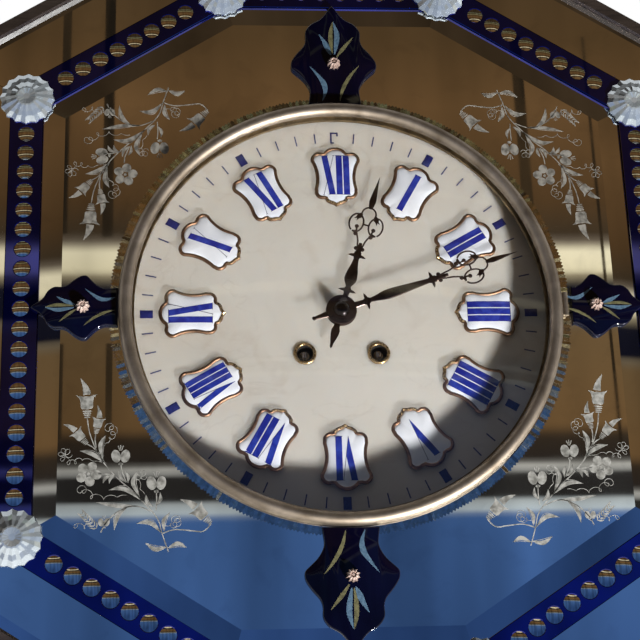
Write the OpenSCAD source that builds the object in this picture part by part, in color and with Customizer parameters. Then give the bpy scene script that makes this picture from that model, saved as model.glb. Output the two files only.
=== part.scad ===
// Octagonal mirror wall clock with an alabaster dial, enamel numerals and a round plate movement.
// Each piece is drawn as seen from the front, x right, y up and z out of the wall,
// with the hand arbor on the z axis, and is then stood upright.

/* [Mirror front] */
// Width of the centre mirror
panel_w = 404; // [380:1:440]
// Height of the centre mirror
panel_h = 456; // [430:1:500]
// Length of the mirror's upright sides
panel_side = 294; // [260:1:330]
// Length of the mirror's top and bottom edges
panel_top = 150; // [120:1:180]
// Thickness of all glass on the front
glass_t = 5; // [4:0.5:7]
// Width of the ground bevel on the centre mirror
bevel_w = 15; // [8:1:20]
// Depth of the ground bevels at the edge
bevel_drop = 2; // [1:0.25:3]
// Width of the cobalt strips
strip_w = 22.5; // [18:0.5:28]
// Width of the outer mirror strips
outer_w = 40; // [25:1:60]
// Bevel on the outer mirror strips
outer_bevel = 8; // [4:1:12]
// Gap between glass pieces
glass_gap = 0.4; // [0.2:0.1:0.8]
// Diameter of the lens cuts in the cobalt strips
lens_d = 12; // [8:0.5:14]
// Depth of the lens cuts
lens_depth = 1.2; // [0.6:0.1:1.8]
// Spacing of the lens cuts
lens_pitch = 14.1; // [14.1:0.1:18]
// Radius of the cut glass rosettes
rosette_r = 19; // [15:0.5:22]
// Height of the cut glass rosettes
rosette_h = 6; // [3:0.5:9]
// How far the side leaves lap over the blue strips
side_lap = 4.5; // [0:0.5:8]
// How far the top and bottom leaves stop short of the panel's edge
end_short = 0.5; // [0:0.5:6]
// Thickness of the leaves
leaf_t = 3.4; // [2.5:0.1:3.5]
// Diameter of the leaf studs
stud_d = 9.5; // [7:0.5:12]
// Height of the leaf studs
stud_h = 5; // [3:0.5:7]

/* [Case] */
// Thickness of the front board
board_t = 20; // [19:0.5:26]
// Width of the wooden edge moulding
edge_w = 8; // [5:0.5:14]
// How far the edge moulding stands proud of the glass
edge_proud = 2; // [1:0.5:4]
// Width of the box behind the board
box_w = 300; // [280:1:340]
// Height of the box behind the board
box_h = 380; // [370:1:386]
// Depth of the box, from the wall to the board
box_d = 92; // [92:0.5:110]
// Thickness of the box sides
box_t = 10; // [8:0.5:14]
// Thickness of the back frame
back_t = 8; // [7:0.5:9]
// Width of the back frame's upright sides
stile_w = 50; // [40:1:60]
// Height of the back frame's top and bottom
rail_h = 60; // [45:1:70]
// Gap round the rear door
door_gap = 1; // [0.8:0.1:1.5]
// How far the rear door lies below the back of the case
door_sunk = 2; // [2:0.1:3]
// Radius of the rear hinge knuckles
hinge_r = 1.9; // [1.6:0.05:1.95]
// Length of a rear hinge knuckle
hinge_len = 14; // [10:0.5:20]
// Height of the rear hinges above and below the middle
hinge_y = 85; // [60:1:100]
// Length of the turn button
button_l = 32; // [30:0.5:40]
// Width of the turn button
button_w = 9; // [6:0.5:10]
// Width of the hanger plate
hanger_w = 40; // [34:1:60]
// Height of the hanger plate
hanger_h = 46; // [42:1:60]
// Thickness of the hanger plate
hanger_t = 2.5; // [2:0.25:4]
// Radius of the hanging hole
hang_r = 5; // [3:0.25:6]
// How far the hanging hole lies above the box
hang_rise = 12; // [10:0.5:16]

/* [Dial and bezel] */
// Width of the bezel's half-round
bezel_w = 9; // [8:0.25:11]
// Outer radius of the bezel
bezel_r = 149; // [148:0.25:150]
// Height of the bezel above the mirror
bezel_h = 9; // [7:0.25:11]
// Wall of the bezel's sleeve
sleeve_t = 1.6; // [1:0.1:2]
// Depth of the bezel's sleeve behind the mirror face
sleeve_d = 8; // [6:0.5:10]
// Thickness of the dial
dial_t = 6; // [4:0.5:7]
// Depth of the dial's face below the mirror's face
dial_sunk = 13; // [12:0.25:14]
// Thickness of the domed glass
dome_t = 2; // [1.5:0.1:3]
// Rise of the domed glass
dome_rise = 12; // [11:0.5:18]
// How far inside the bezel the numerals are centred
numeral_in = 39; // [36:0.5:42]
// Height of a numeral cartouche
cartouche_h = 43.7; // [38:0.1:46]
// Thickness of a cartouche
cartouche_t = 3; // [2:0.1:3.5]
// Outer radius of the winding eyelets
eyelet_r = 7.7; // [7:0.1:9]
// Bore radius of the winding eyelets
eyelet_bore = 5.6; // [5:0.1:6]

/* [Hands] */
// Gap between the minute hand's tip and the bezel
minute_in = 11; // [8:0.5:24]
// Gap between the hour hand's tip and the bezel
hour_in = 37; // [30:0.5:48]
// Radius of the hubs
hub_r = 10.5; // [8:0.25:12]
// Thickness of the hands
hand_t = 1.2; // [0.8:0.1:1.6]
// Height of the hour hand above the dial
hour_rise = 4.2; // [3.8:0.1:5]
// Gap between the two hands
hand_gap = 2.2; // [1.6:0.1:3]
// Hour hand's turn from twelve, clockwise
hour_turn = 17.2; // [0:0.1:360]
// Minute hand's turn from twelve, clockwise
minute_turn = 71.3; // [0:0.1:360]

/* [Movement] */
// Radius of the round plates
plate_r = 58; // [56.5:0.5:61]
// Thickness of the plates
plate_t = 2.5; // [2:0.25:3]
// Room between the plates
plate_room = 32; // [32:0.5:36]
// Gap between the front plate and the front board's back
plate_stand = 9.5; // [9:0.25:12]
// Radius of the pillars
pillar_r = 3; // [2:0.25:4]
// Sideways place of the winding arbors
wind_x = 25; // [24.6:0.1:26]
// Drop of the winding arbors below the hands
wind_y = 28.5; // [27:0.1:30]
// Side of the winding squares
square_w = 3.5; // [3:0.1:4.2]
// Radius of the wheel arbors
arbor_r = 0.8; // [0.6:0.05:0.8]
// Running clearance of arbors and pins
run_gap = 0.05; // [0.02:0.01:0.08]
// Seat clearance of fixed pieces
seat_gap = 0.05; // [0.02:0.01:0.1]
// Thickness of the train wheels
wheel_t = 1.5; // [1:0.1:2]
// Height of the barrel drums
barrel_h = 16; // [12:0.5:16.5]
// Tooth module of the barrels
barrel_m = 0.48; // [0.47:0.005:0.49]
// Tooth module of the wheels on the second arbors and at the centre
wheel_m = 0.5; // [0.49:0.005:0.51]
// Tooth module of the fast wheels
fast_m = 0.44; // [0.43:0.005:0.45]
// Radius of the escape wheel
escape_r = 13; // [12:0.25:13.5]
// Room between the pendulum's end and the box's floor
pendulum_room = 13; // [2:0.5:40]
// Radius of the pendulum rod
rod_r = 1.5; // [1:0.1:2]
// Radius of the bob
bob_r = 27; // [20:0.5:32]
// Thickness of the bob
bob_t = 12; // [8:0.5:14]
// Radius of the bell
bell_r = 30; // [26:0.5:32]
// Depth of the bell
bell_h = 15; // [10:0.5:16]
// Wall of the bell
bell_t = 1.6; // [1:0.1:2]

/* [Hidden] */
$fn = 64;

wood = "#4a2f22";
silver = "#b9b9bd";
brass = "#b08d4a";
steel = "#2b2a2c";
cobalt = "#1c2f8f";
mirror_grey = "#9fa4aa";

// Depths, from the wall outward
board_z = box_d;
glass_z = board_z + board_t;
face_z = glass_z + glass_t;
dial_z = face_z - dial_sunk;
hour_z = dial_z + hour_rise;
minute_z = hour_z + hand_t + hand_gap;
nut_z = minute_z + hand_t;
front_z = board_z - plate_stand - plate_t;
back_z = front_z - plate_room - plate_t;
rear_z = door_sunk;
hang_y = box_h / 2 + hang_rise;
door_w = box_w - 2 * stile_w;
door_h = box_h - 2 * rail_h;
sight_r = bezel_r - bezel_w;
numeral_r = sight_r - numeral_in;
minute_len = sight_r - minute_in;
hour_len = sight_r - hour_in;

// The mirror's eight corners, moved outward by a set distance
side_x = panel_w / 2;
top_y = panel_h / 2;
side_y = panel_side / 2;
top_x = panel_top / 2;
slant = norm([side_x - top_x, top_y - side_y]);
slant_nx = (top_y - side_y) / slant;
slant_ny = (side_x - top_x) / slant;
slant_c = slant_nx * side_x + slant_ny * side_y;
function corner_side(d) = [side_x + d, (slant_c + d - slant_nx * (side_x + d)) / slant_ny];
function corner_top(d) = [(slant_c + d - slant_ny * (top_y + d)) / slant_nx, top_y + d];
function octagon(d) =
  let (s = corner_side(d), t = corner_top(d))
  [[s.x, -s.y], s, t, [-t.x, t.y], [-s.x, s.y], [-s.x, -s.y], [-t.x, -t.y], [t.x, -t.y]];
function next(i) = (i + 1) % 8;

// Train: tooth counts, and places found from the meshing distances
barrel_n = 96;
second_pinion_n = 12;
second_n = 84;
centre_pinion_n = 12;
centre_n = 84;
third_pinion_n = 8;
third_n = 78;
escape_pinion_n = 7;
escape_n = 36;
pin_pinion_n = 12;
pin_n = 66;
fly_pinion_n = 8;
cannon_n = 12;
minute_n = 36;
minute_pinion_n = 10;
hour_n = 40;
motion_m = 0.6;
function gear_r(n, m) = n * m / 2;
function mesh_d(a, b, m) = (a + b) * m / 2;
function meet(p, rp, q, rq) =
  let (
    d = norm(q - p),
    a = (rp * rp - rq * rq + d * d) / (2 * d),
    h = sqrt(rp * rp - a * a),
    u = (q - p) / d
  )
  p + a * u + h * [-u.y, u.x];
function bearing(p, q) = atan2(q.y - p.y, q.x - p.x);
// Turn of a driven gear so that its gap faces the driver's tooth
function mesh_turn(angle, driver_turn, n1, n2) =
  angle + 180 - 360 / n2 * (0.5 - (angle - driver_turn) * n1 / 360);
function polar(r, a) = [r * cos(a), r * sin(a)];
function flip(p) = [-p.x, p.y];

barrel_p = [wind_x, -wind_y];
second_p = meet([0, 0], mesh_d(centre_pinion_n, second_n, wheel_m),
                barrel_p, mesh_d(second_pinion_n, barrel_n, barrel_m));
motion_d = mesh_d(cannon_n, minute_n, motion_m);
hour_m = 2 * motion_d / (hour_n + minute_pinion_n);
minute_p = polar(motion_d, 20);
third_p = polar(mesh_d(centre_n, third_pinion_n, wheel_m), 60);
escape_gap = mesh_d(third_n, escape_pinion_n, fast_m);
escape_p = [0, third_p.y + sqrt(escape_gap * escape_gap - third_p.x * third_p.x)];
pivot_p = escape_p + [0, escape_r * 1.4];
strike_p = flip(second_p);
pin_p = strike_p + polar(mesh_d(second_n, pin_pinion_n, wheel_m), 110);
fly_p = pin_p + polar(mesh_d(pin_n, fly_pinion_n, fast_m), 42);
hammer_p = [-46, -12];
strap_y = plate_r - 14;
strap_w = 8;
strap_t = 3;
post_x = 28;
wheel_hole = plate_r + 6;

// Depths inside the movement
barrel_wheel_z = back_z + plate_t + 1;
second_wheel_z = front_z - 9.5;
strike_wheel_z = second_wheel_z - 3.6;
centre_wheel_z = front_z - 5.5;
third_wheel_z = back_z + plate_t + 8;
escape_wheel_z = back_z + plate_t + 12;
fly_z = front_z - 15;
count_z = back_z - 2.6;
cannon_z = front_z + plate_t + 1.2;
hour_wheel_z = cannon_z + 4.5;
cannon_r = 3.4;
hour_pipe_r = 4.9;
ratchet_z = front_z + plate_t + 0.6;
ratchet_r = 9;
ratchet_n = 24;
crutch_z = back_z - 4.5;
pendulum_z = crutch_z - 6;
bell_z = rear_z + back_t + 3;

// Stands a piece upright, with the hanging hole at the origin
module upright() {
  translate([0, 0, -hang_y]) rotate([90, 0, 0]) children();
}
// A flat piece between two depths
module slab(z, t) {
  translate([0, 0, z]) linear_extrude(t) children();
}
// A round post or pin at a point
module post(p, r, z0, z1) {
  translate([p.x, p.y, z0]) cylinder(r = r, h = z1 - z0);
}
module at(p, z = 0, turn = 0) {
  translate([p.x, p.y, z]) rotate([0, 0, turn]) children();
}
module both_sides() {
  children();
  mirror([1, 0, 0]) children();
}
// Toothed outline; root and tip are each tooth's widths as shares of the pitch
module teeth(n, m, add, ded, root, tip) {
  pitch = 360 / n;
  inner = n * m / 2 - ded * m;
  outer = n * m / 2 + add * m;
  polygon([
    for (i = [0 : n - 1])
      for (s = [[-root, inner], [-tip, outer], [tip, outer], [root, inner]])
        polar(s[1], pitch * (i + s[0] / 2))
  ]);
}
module wheel_teeth(n, m) {
  teeth(n, m, 0.9, 1.1, 0.42, 0.2);
}
module pinion_teeth(n, m) {
  teeth(n, m, 0.6, 1.3, 0.4, 0.22);
}
// A crossed-out wheel on the local axis, with a bore
module wheel(n, m, bore, t = wheel_t) {
  rim = gear_r(n, m) - 3 * m - 1.2;
  hub = max(bore + 1.5, 3);
  linear_extrude(t) difference() {
    wheel_teeth(n, m);
    circle(r = bore);
    difference() {
      circle(r = rim);
      circle(r = hub);
      for (i = [0 : 3]) rotate(45 + 90 * i) square([2 * rim, 1.8], center = true);
    }
  }
}
module pinion(n, m, t) {
  linear_extrude(t) pinion_teeth(n, m);
}
// Ring of eight plates between two octagons
module octagon_edge(i, d0, d1, gap) {
  a = octagon(d0);
  b = octagon(d1);
  v0 = (b[i] - a[i]) / norm(b[i] - a[i]);
  v1 = (b[next(i)] - a[next(i)]) / norm(b[next(i)] - a[next(i)]);
  along = (a[next(i)] - a[i]) / norm(a[next(i)] - a[i]);
  trim = gap / 2 * along;
  polygon([a[i] + trim, b[i] + trim, b[next(i)] - trim, a[next(i)] - trim]);
}
// Puts a shape on edge i: x along it from its middle, y outward
module on_edge(i, d) {
  p = octagon(d);
  middle = (p[i] + p[next(i)]) / 2;
  turn = bearing(p[i], p[next(i)]);
  translate([middle.x, middle.y, 0]) rotate([0, 0, turn]) mirror([0, 1, 0]) children();
}
function edge_len(i, d) = norm(octagon(d)[next(i)] - octagon(d)[i]);
// Takes a ground bevel off the outside of an octagon's edge
module bevel_cut(i, d, w) {
  on_edge(i, d) translate([-panel_h, 0, face_z]) rotate([90, 0, 90])
    linear_extrude(2 * panel_h) polygon([[-w, 0], [1, 1], [1, -bevel_drop * (w + 1) / w]]);
}

// Case
module front_board() {
  color(wood) upright() difference() {
    slab(board_z, board_t) polygon(octagon(strip_w + outer_w));
    slab(dial_z - dial_t, glass_z) circle(r = dial_seat_r, $fn = 128);
    slab(board_z - 1, board_t) circle(r = wheel_hole);
    hinge_mortise();
  }
}
module edge_moulding() {
  color(wood) upright() slab(board_z, board_t + glass_t + edge_proud) difference() {
    polygon(octagon(strip_w + outer_w + edge_w));
    polygon(octagon(strip_w + outer_w + seat_gap));
  }
}
module box_sides() {
  h = box_d - back_t;
  color(wood) upright() {
    both_sides() translate([box_w / 2 - box_t, -box_h / 2, back_t]) cube([box_t, box_h, h]);
    for (y = [-box_h / 2, box_h / 2 - box_t])
      translate([-box_w / 2 + box_t + seat_gap, y, back_t]) cube([box_w - 2 * (box_t + seat_gap), box_t, h]);
  }
}
knuckle_x = door_w / 2;
knuckle_clear = 0.5;
button_p = [-door_w / 2 - button_l / 4, 0];
screw_r = 1.5;
leaf_w = 12;
leaf_plate_t = 1;
module hinge_space(r) {
  for (s = [-1, 1])
    translate([knuckle_x, s * hinge_y - hinge_len - knuckle_clear, rear_z])
      rotate([-90, 0, 0]) cylinder(r = r, h = 2 * (hinge_len + knuckle_clear));
}
module back_frame() {
  color(wood) upright() difference() {
    slab(0, back_t) square([box_w, box_h], center = true);
    slab(-1, back_t + 2) square([door_w, door_h], center = true);
    slab(-1, 1 + rear_z) translate(button_p) circle(r = button_l / 2 + 1);
    hinge_space(hinge_r + knuckle_clear);
    for (s = [-1, 1])
      translate([knuckle_x, s * hinge_y - hinge_len - knuckle_clear, -1])
        cube([leaf_w + seat_gap, hinge_len + 2 * knuckle_clear, 1 + leaf_plate_t + 0.4]);
    translate([-hanger_w / 2 - seat_gap, hang_y + hang_top - hanger_h - seat_gap, -1])
      cube([hanger_w + 2 * seat_gap, hanger_h + 2 * seat_gap, 1 + hanger_t]);
    case_screw_holes();
  }
}
// Fixed leaves, each with its knuckle and the pin
pin_r = 0.9;
module door_hinge_plates() {
  color(brass) upright() for (s = [-1, 1]) translate([knuckle_x, s * hinge_y, rear_z]) {
    translate([0, -hinge_len, 0]) rotate([-90, 0, 0]) cylinder(r = hinge_r, h = hinge_len);
    translate([hinge_r / 2, -hinge_len, -rear_z + 0.4]) cube([leaf_w - hinge_r / 2, hinge_len, leaf_plate_t]);
    rotate([-90, 0, 0]) cylinder(r = pin_r, h = hinge_len);
  }
}
module door_hinge_leaves() {
  color(brass) upright() for (s = [-1, 1]) translate([knuckle_x, s * hinge_y + seat_gap, rear_z])
    difference() {
      union() {
        rotate([-90, 0, 0]) cylinder(r = hinge_r, h = hinge_len);
        translate([-leaf_w, 0, -leaf_plate_t]) cube([leaf_w - hinge_r / 2, hinge_len, leaf_plate_t]);
      }
      translate([0, -1, 0]) rotate([-90, 0, 0]) cylinder(r = pin_r + run_gap, h = hinge_len + 2);
    }
}
module rear_door() {
  color(wood) upright() difference() {
    slab(rear_z, back_t - rear_z) square([door_w - 2 * door_gap, door_h - 2 * door_gap], center = true);
    hinge_space(hinge_r + knuckle_clear);
  }
}
button_t = 1.2;
module door_button() {
  z = (rear_z - button_t) / 2;
  color(brass) upright() at(button_p, z, 90) linear_extrude(button_t) difference() {
    union() {
      square([button_l - button_w, button_w], center = true);
      for (s = [-1, 1]) translate([s * (button_l - button_w) / 2, 0]) circle(d = button_w);
    }
    circle(r = screw_r + run_gap);
  }
}
hang_top = 10;
screw_l = back_t - 1;
hanger_screw_y = hang_y + hang_top - hanger_h + 8;
hanger_screws = [for (s = [-1, 1]) [s * (hanger_w / 2 - 7), hanger_screw_y]];
module hanger_plate() {
  color(brass) upright() slab(0, hanger_t) difference() {
    translate([-hanger_w / 2, hang_y + hang_top - hanger_h]) square([hanger_w, hanger_h]);
    translate([0, hang_y]) circle(r = hang_r);
    for (p = hanger_screws) translate(p) circle(r = screw_r + seat_gap);
  }
}
strap_screws = [for (sx = [-1, 1], sy = [-1, 1]) [sx * (wheel_hole + 2), sy * strap_y]];
module case_screw_holes() {
  for (p = concat(hanger_screws, [button_p])) post(p, screw_r + seat_gap, -1, screw_l + seat_gap);
}
// Wood screws: hanger plate, turn button and movement straps
module case_screws() {
  color(steel) upright() {
    for (p = hanger_screws) post(p, screw_r, 0.1, screw_l);
    post(button_p, screw_r, 0.1, screw_l);
    for (p = strap_screws) post(p, screw_r + 1.5, board_z - strap_t - 2, board_z - strap_t);
  }
}
module movement_straps() {
  color(brass) upright() for (s = [-1, 1]) {
    slab(board_z - strap_t, strap_t) translate([0, s * strap_y])
      square([2 * (wheel_hole + 9), strap_w], center = true);
    for (x = [-post_x, post_x]) post([x, s * strap_y], 3, front_z + plate_t, board_z - strap_t);
  }
}

// Mirror front
hole_r = bezel_r - 3;
// The panel before its hole is cut: straight edges below and a ground bevel all round above
module bevelled_blank(d, w) {
  rings = [octagon(d), octagon(d), octagon(d - w)];
  heights = [glass_z, face_z - bevel_drop, face_z];
  polyhedron(
    points = [for (k = [0 : 2]) for (p = rings[k]) [p.x, p.y, heights[k]]],
    faces = concat(
      [[for (i = [0 : 7]) i], [for (i = [7 : -1 : 0]) 16 + i]],
      [for (k = [0, 8]) for (i = [0 : 7]) [k + i, k + 8 + i, k + 8 + next(i), k + next(i)]]
    )
  );
}
module mirror_panel() {
  color(mirror_grey) upright() difference() {
    bevelled_blank(-glass_gap / 2, bevel_w);
    slab(glass_z - 1, glass_t + 2) circle(r = hole_r, $fn = 128);
    hinge_mortise();
  }
}
lens_sphere = (lens_d * lens_d / 4 + lens_depth * lens_depth) / (2 * lens_depth);
function lens_count(i) = floor((edge_len(i, strip_w / 2) - 2 * rosette_r) / lens_pitch);
module cobalt_strips() {
  color(cobalt) upright() for (i = [0 : 7]) difference() {
    slab(glass_z, glass_t) octagon_edge(i, glass_gap / 2, strip_w - glass_gap / 2, glass_gap);
    for (k = [0 : lens_count(i) - 1])
      on_edge(i, strip_w / 2)
        translate([(k - (lens_count(i) - 1) / 2) * lens_pitch, 0, face_z + lens_sphere - lens_depth])
          sphere(r = lens_sphere);
  }
}
module outer_mirror_strips() {
  d1 = strip_w + outer_w - glass_gap / 2;
  color(mirror_grey) upright() for (i = [0 : 7]) difference() {
    slab(glass_z, glass_t) octagon_edge(i, strip_w + glass_gap / 2, d1, glass_gap);
    bevel_cut(i, d1, outer_bevel);
  }
}
// Facetted domes of cut glass over the strips' corners
module vertex_rosettes() {
  color("#cfd8dc") upright() for (p = octagon(strip_w / 2)) at(p, face_z) {
    cylinder(r = rosette_r, h = rosette_h / 3, $fn = 8);
    translate([0, 0, rosette_h / 3])
      cylinder(r1 = rosette_r, r2 = rosette_r / 2, h = rosette_h * 2 / 3, $fn = 8);
  }
}
// A scalloped leaf, from its neck at the bezel to its tip
module leaf_shape(len) {
  k = len / 53;
  for (s = [-1, 1]) scale(k) {
    translate([20, s * 9]) circle(r = 12.2);
    translate([38.3, s * 6.4]) circle(r = 8.2);
  }
  scale(k) polygon([[0, -12.2], [8, -13], [20, -12], [44, -8.5], [46.2, -5], [53, 0],
                    [46.2, 5], [44, 8.5], [20, 12], [8, 13], [0, 12.2]]);
}
leaf_start = bezel_r + 0.5;
side_leaf = side_x + side_lap - leaf_start;
end_leaf = top_y - end_short - leaf_start;
side_stud_x = leaf_start + 0.4 * side_leaf;
end_stud_y = leaf_start + 0.4 * end_leaf;
module leaf_ornaments() {
  color(cobalt) upright() slab(face_z, leaf_t) {
    difference() {
      translate([leaf_start, 0]) leaf_shape(side_leaf);
      translate([leaf_start, 0]) square([12, 2 * knuckle_span + 2], center = true);
    }
    translate([-leaf_start, 0]) rotate(180) leaf_shape(side_leaf);
    for (s = [-1, 1]) translate([0, s * leaf_start]) rotate(90 * s) leaf_shape(end_leaf);
  }
}
module leaf_studs() {
  spots = concat([for (s = [-1, 1]) [s * side_stud_x, 0]], [for (s = [-1, 1]) [0, s * end_stud_y]]);
  color("#c9a27e") upright() for (p = spots) at(p, face_z + leaf_t) {
    cylinder(d = stud_d, h = stud_h / 3, $fn = 8);
    translate([0, 0, stud_h / 3]) cylinder(d1 = stud_d, d2 = stud_d / 3, h = stud_h * 2 / 3, $fn = 8);
  }
}

// Dial
sleeve_r = hole_r - 3;
dial_seat_r = sleeve_r + 1;
module dial_plate() {
  color("#cfc9bd") upright() slab(dial_z - dial_t, dial_t) difference() {
    circle(r = dial_seat_r - seat_gap * 4, $fn = 128);
    circle(r = hour_pipe_r + 1.5);
    both_sides() translate(barrel_p) circle(r = eyelet_r - 0.8);
  }
}
// Outline with a lobe at each end and hollow sides, drawn for a height of 43.7
module cartouche_shape() {
  difference() {
    union() {
      polygon([[-12.3, 17.5], [-17, 13], [-14.5, -13], [-10.3, -17.2],
               [10.3, -17.2], [14.5, -13], [17, 13], [12.3, 17.5]]);
      translate([0, 12.5]) circle(r = 9.35);
      translate([0, -13.2]) circle(r = 8.65);
      both_sides() {
        translate([12.3, 12.9]) circle(r = 4.7);
        translate([10.3, -13]) circle(r = 4.2);
      }
    }
    both_sides() translate([43.3, -2]) circle(r = 30);
  }
}
cartouche_k = cartouche_h / 43.7;
plaque_share = 0.84;
module each_hour(z) {
  for (i = [1 : 12]) rotate([0, 0, -30 * i]) translate([0, numeral_r, z]) children();
}
module cartouche_frames() {
  color("#6b4a2b") upright() each_hour(dial_z) linear_extrude(cartouche_t) difference() {
    scale(cartouche_k) cartouche_shape();
    scale(cartouche_k * plaque_share) cartouche_shape();
  }
}
module enamel_plaques() {
  color("white") upright() each_hour(dial_z) linear_extrude(cartouche_t - 0.4)
    scale(cartouche_k * (plaque_share - 0.01)) cartouche_shape();
}
module winding_eyelets() {
  color(brass) upright() both_sides() at(barrel_p) difference() {
    union() {
      translate([0, 0, dial_z]) cylinder(r = eyelet_r, h = 1.4);
      translate([0, 0, dial_z - dial_t]) cylinder(r = eyelet_r - 0.8 - seat_gap, h = dial_t);
    }
    translate([0, 0, dial_z - dial_t - 1]) cylinder(r = eyelet_bore, h = dial_t + 4);
  }
}

// Bezel
barrel_axis_x = bezel_r + 2;
barrel_axis_z = face_z + 4;
bezel_knuckle_r = 2;
knuckle_half = 3;
knuckle_span = 8;
web_t = 1.6;
module hinge_mortise() {
  translate([0, -knuckle_half - seat_gap, face_z - 12])
    cube([barrel_axis_x + web_t / 2 + seat_gap, 2 * (knuckle_half + seat_gap), 14]);
}
module upright_pin(r, y0, y1) {
  translate([barrel_axis_x, y0, barrel_axis_z]) rotate([-90, 0, 0]) cylinder(r = r, h = y1 - y0);
}
module bezel_hinge_plate() {
  color(silver) upright() {
    upright_pin(bezel_knuckle_r, -knuckle_half, knuckle_half);
    upright_pin(pin_r, -knuckle_span, knuckle_span);
    translate([barrel_axis_x - web_t / 2, -knuckle_half, face_z - 12])
      cube([web_t, 2 * knuckle_half, barrel_axis_z - face_z + 12]);
  }
}
bezel_mid = (bezel_r + sight_r) / 2;
bezel_half = (bezel_r - sight_r) / 2;
module bezel_ring() {
  color(silver) upright() difference() {
    union() {
      rotate_extrude($fn = 128) {
        translate([sight_r, glass_rest_z]) square([2 * bezel_half, bezel_h - bezel_half]);
        intersection() {
          translate([bezel_mid, glass_rest_z + bezel_h - bezel_half]) circle(r = bezel_half);
          translate([sight_r, glass_rest_z]) square([2 * bezel_half, bezel_h]);
        }
        translate([sleeve_r - sleeve_t, face_z - sleeve_d]) square([sleeve_t, sleeve_d + 1]);
      }
      for (s = [0, 1]) mirror([0, s, 0]) {
        upright_pin(bezel_knuckle_r, knuckle_half + 0.2, knuckle_span);
        translate([bezel_r - 4, knuckle_half + 0.2, barrel_axis_z - 1])
          cube([barrel_axis_x - bezel_r + 4, knuckle_span - knuckle_half - 0.2, 2]);
      }
    }
    upright_pin(pin_r + run_gap, -knuckle_span - 1, knuckle_span + 1);
    translate([barrel_axis_x - bezel_knuckle_r - 0.4, -knuckle_half - 0.2, face_z - 1])
      cube([8, 2 * knuckle_half + 0.4, 9]);
    slab(glass_rest_z - 0.1, dome_t + 1.1) circle(r = dome_r + seat_gap, $fn = 128);
  }
}
dome_r = sight_r + 2;
glass_rest_z = face_z + 0.2;
module sight_ring() {
  color(brass) upright() translate([0, 0, face_z - 3]) rotate_extrude($fn = 128)
    translate([sight_r - 1.2, 0]) square([sleeve_r - sleeve_t - sight_r + 1.2 - seat_gap, 3]);
}
// Domed glass held between the ring and the sight ring
module bezel_glass() {
  rim = dome_r;
  ball = (rim * rim + dome_rise * dome_rise) / (2 * dome_rise);
  color("#dfe8ea", 0.4) upright() translate([0, 0, glass_rest_z]) intersection() {
    translate([0, 0, dome_rise - ball]) difference() {
      sphere(r = ball + dome_t, $fn = 128);
      sphere(r = ball, $fn = 128);
    }
    cylinder(r = rim, h = dome_rise + 2 * dome_t, $fn = 128);
  }
}

// Hands, drawn pointing up from the arbor
module ring(p, r, t) {
  translate(p) difference() {
    circle(r = r);
    circle(r = r - t);
  }
}
// Spear, openwork scrolls, thorned collars, baluster, hub and tail
module hand_shape(len, belly_w, collar_y, scroll_y, scroll_h, tail) {
  spear_y = scroll_y + scroll_h;
  wire = 1.3;
  thorn = 5.6;
  side_r = scroll_h * 0.24;
  foot_x = side_r * 0.7;
  belly_y = collar_y[0] + 8;
  neck_y = collar_y[1] + 5;
  spear_wide_y = spear_y + (len - spear_y) * 0.28;
  circle(r = hub_r);
  polygon([[1.6, 0], [1.6, collar_y[0]], [belly_w / 2, belly_y], [2, collar_y[1]], [2, neck_y],
           [-2, neck_y], [-2, collar_y[1]], [-belly_w / 2, belly_y], [-1.6, collar_y[0]], [-1.6, 0]]);
  both_sides() {
    for (y = collar_y) polygon([[0, y - 1.4], [thorn, y - 1.2], [0, y + 2.2]]);
    translate([2.4, neck_y]) circle(r = 1.7);
    polygon([[2.2, neck_y - 1], [foot_x + 1.4, scroll_y + 2], [foot_x, scroll_y + 2], [0.6, neck_y - 1]]);
    translate([foot_x + 1.6, scroll_y + 1]) circle(r = 1.6);
    ring([side_r + 0.6, scroll_y + 2 + side_r], side_r, wire);
    translate([side_r + 0.8, scroll_y + 1 + side_r]) circle(r = 1.5);
    translate([side_r + 0.3, scroll_y + 1]) square([1, side_r]);
    polygon([[side_r * 1.9, scroll_y + 1.9 * side_r], [side_r * 1.2, scroll_y + 2.6 * side_r],
             [side_r * 0.9, scroll_y + 1.8 * side_r]]);
  }
  ring([0, spear_y - side_r * 1.25], side_r * 1.25 + wire / 2, wire);
  polygon([[1.4, spear_y - 0.6], [3.3, spear_wide_y], [0, len], [-3.3, spear_wide_y], [-1.4, spear_y - 0.6]]);
  polygon([[-1.6, 0], [-2.6, -tail * 0.62], [-0.9, -tail], [0.9, -tail], [2.6, -tail * 0.62], [1.6, 0]]);
}
module hour_hand() {
  color(steel) upright() rotate([0, 0, -hour_turn]) slab(hour_z, hand_t) difference() {
    hand_shape(hour_len, 8.4, [16, 0.39 * hour_len], 0.54 * hour_len, 0.24 * hour_len, 29);
    circle(r = hour_pipe_r + seat_gap);
  }
}
module minute_hand() {
  color(steel) upright() rotate([0, 0, -minute_turn]) slab(minute_z, hand_t) difference() {
    hand_shape(minute_len, 7, [19.5, 0.53 * minute_len], 0.64 * minute_len, 0.19 * minute_len, 21);
    circle(r = cannon_r + seat_gap);
  }
}
nut_h = 4;
module hand_nut() {
  dome = 7;
  cap_r = 5.6;
  color(steel) upright() translate([0, 0, nut_z]) difference() {
    intersection() {
      cylinder(r = cap_r, h = nut_h);
      translate([0, 0, nut_h - dome]) sphere(r = dome);
    }
    translate([0, 0, -1]) cylinder(r = arbor_max + seat_gap, h = nut_h - 0.4);
  }
}

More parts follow.
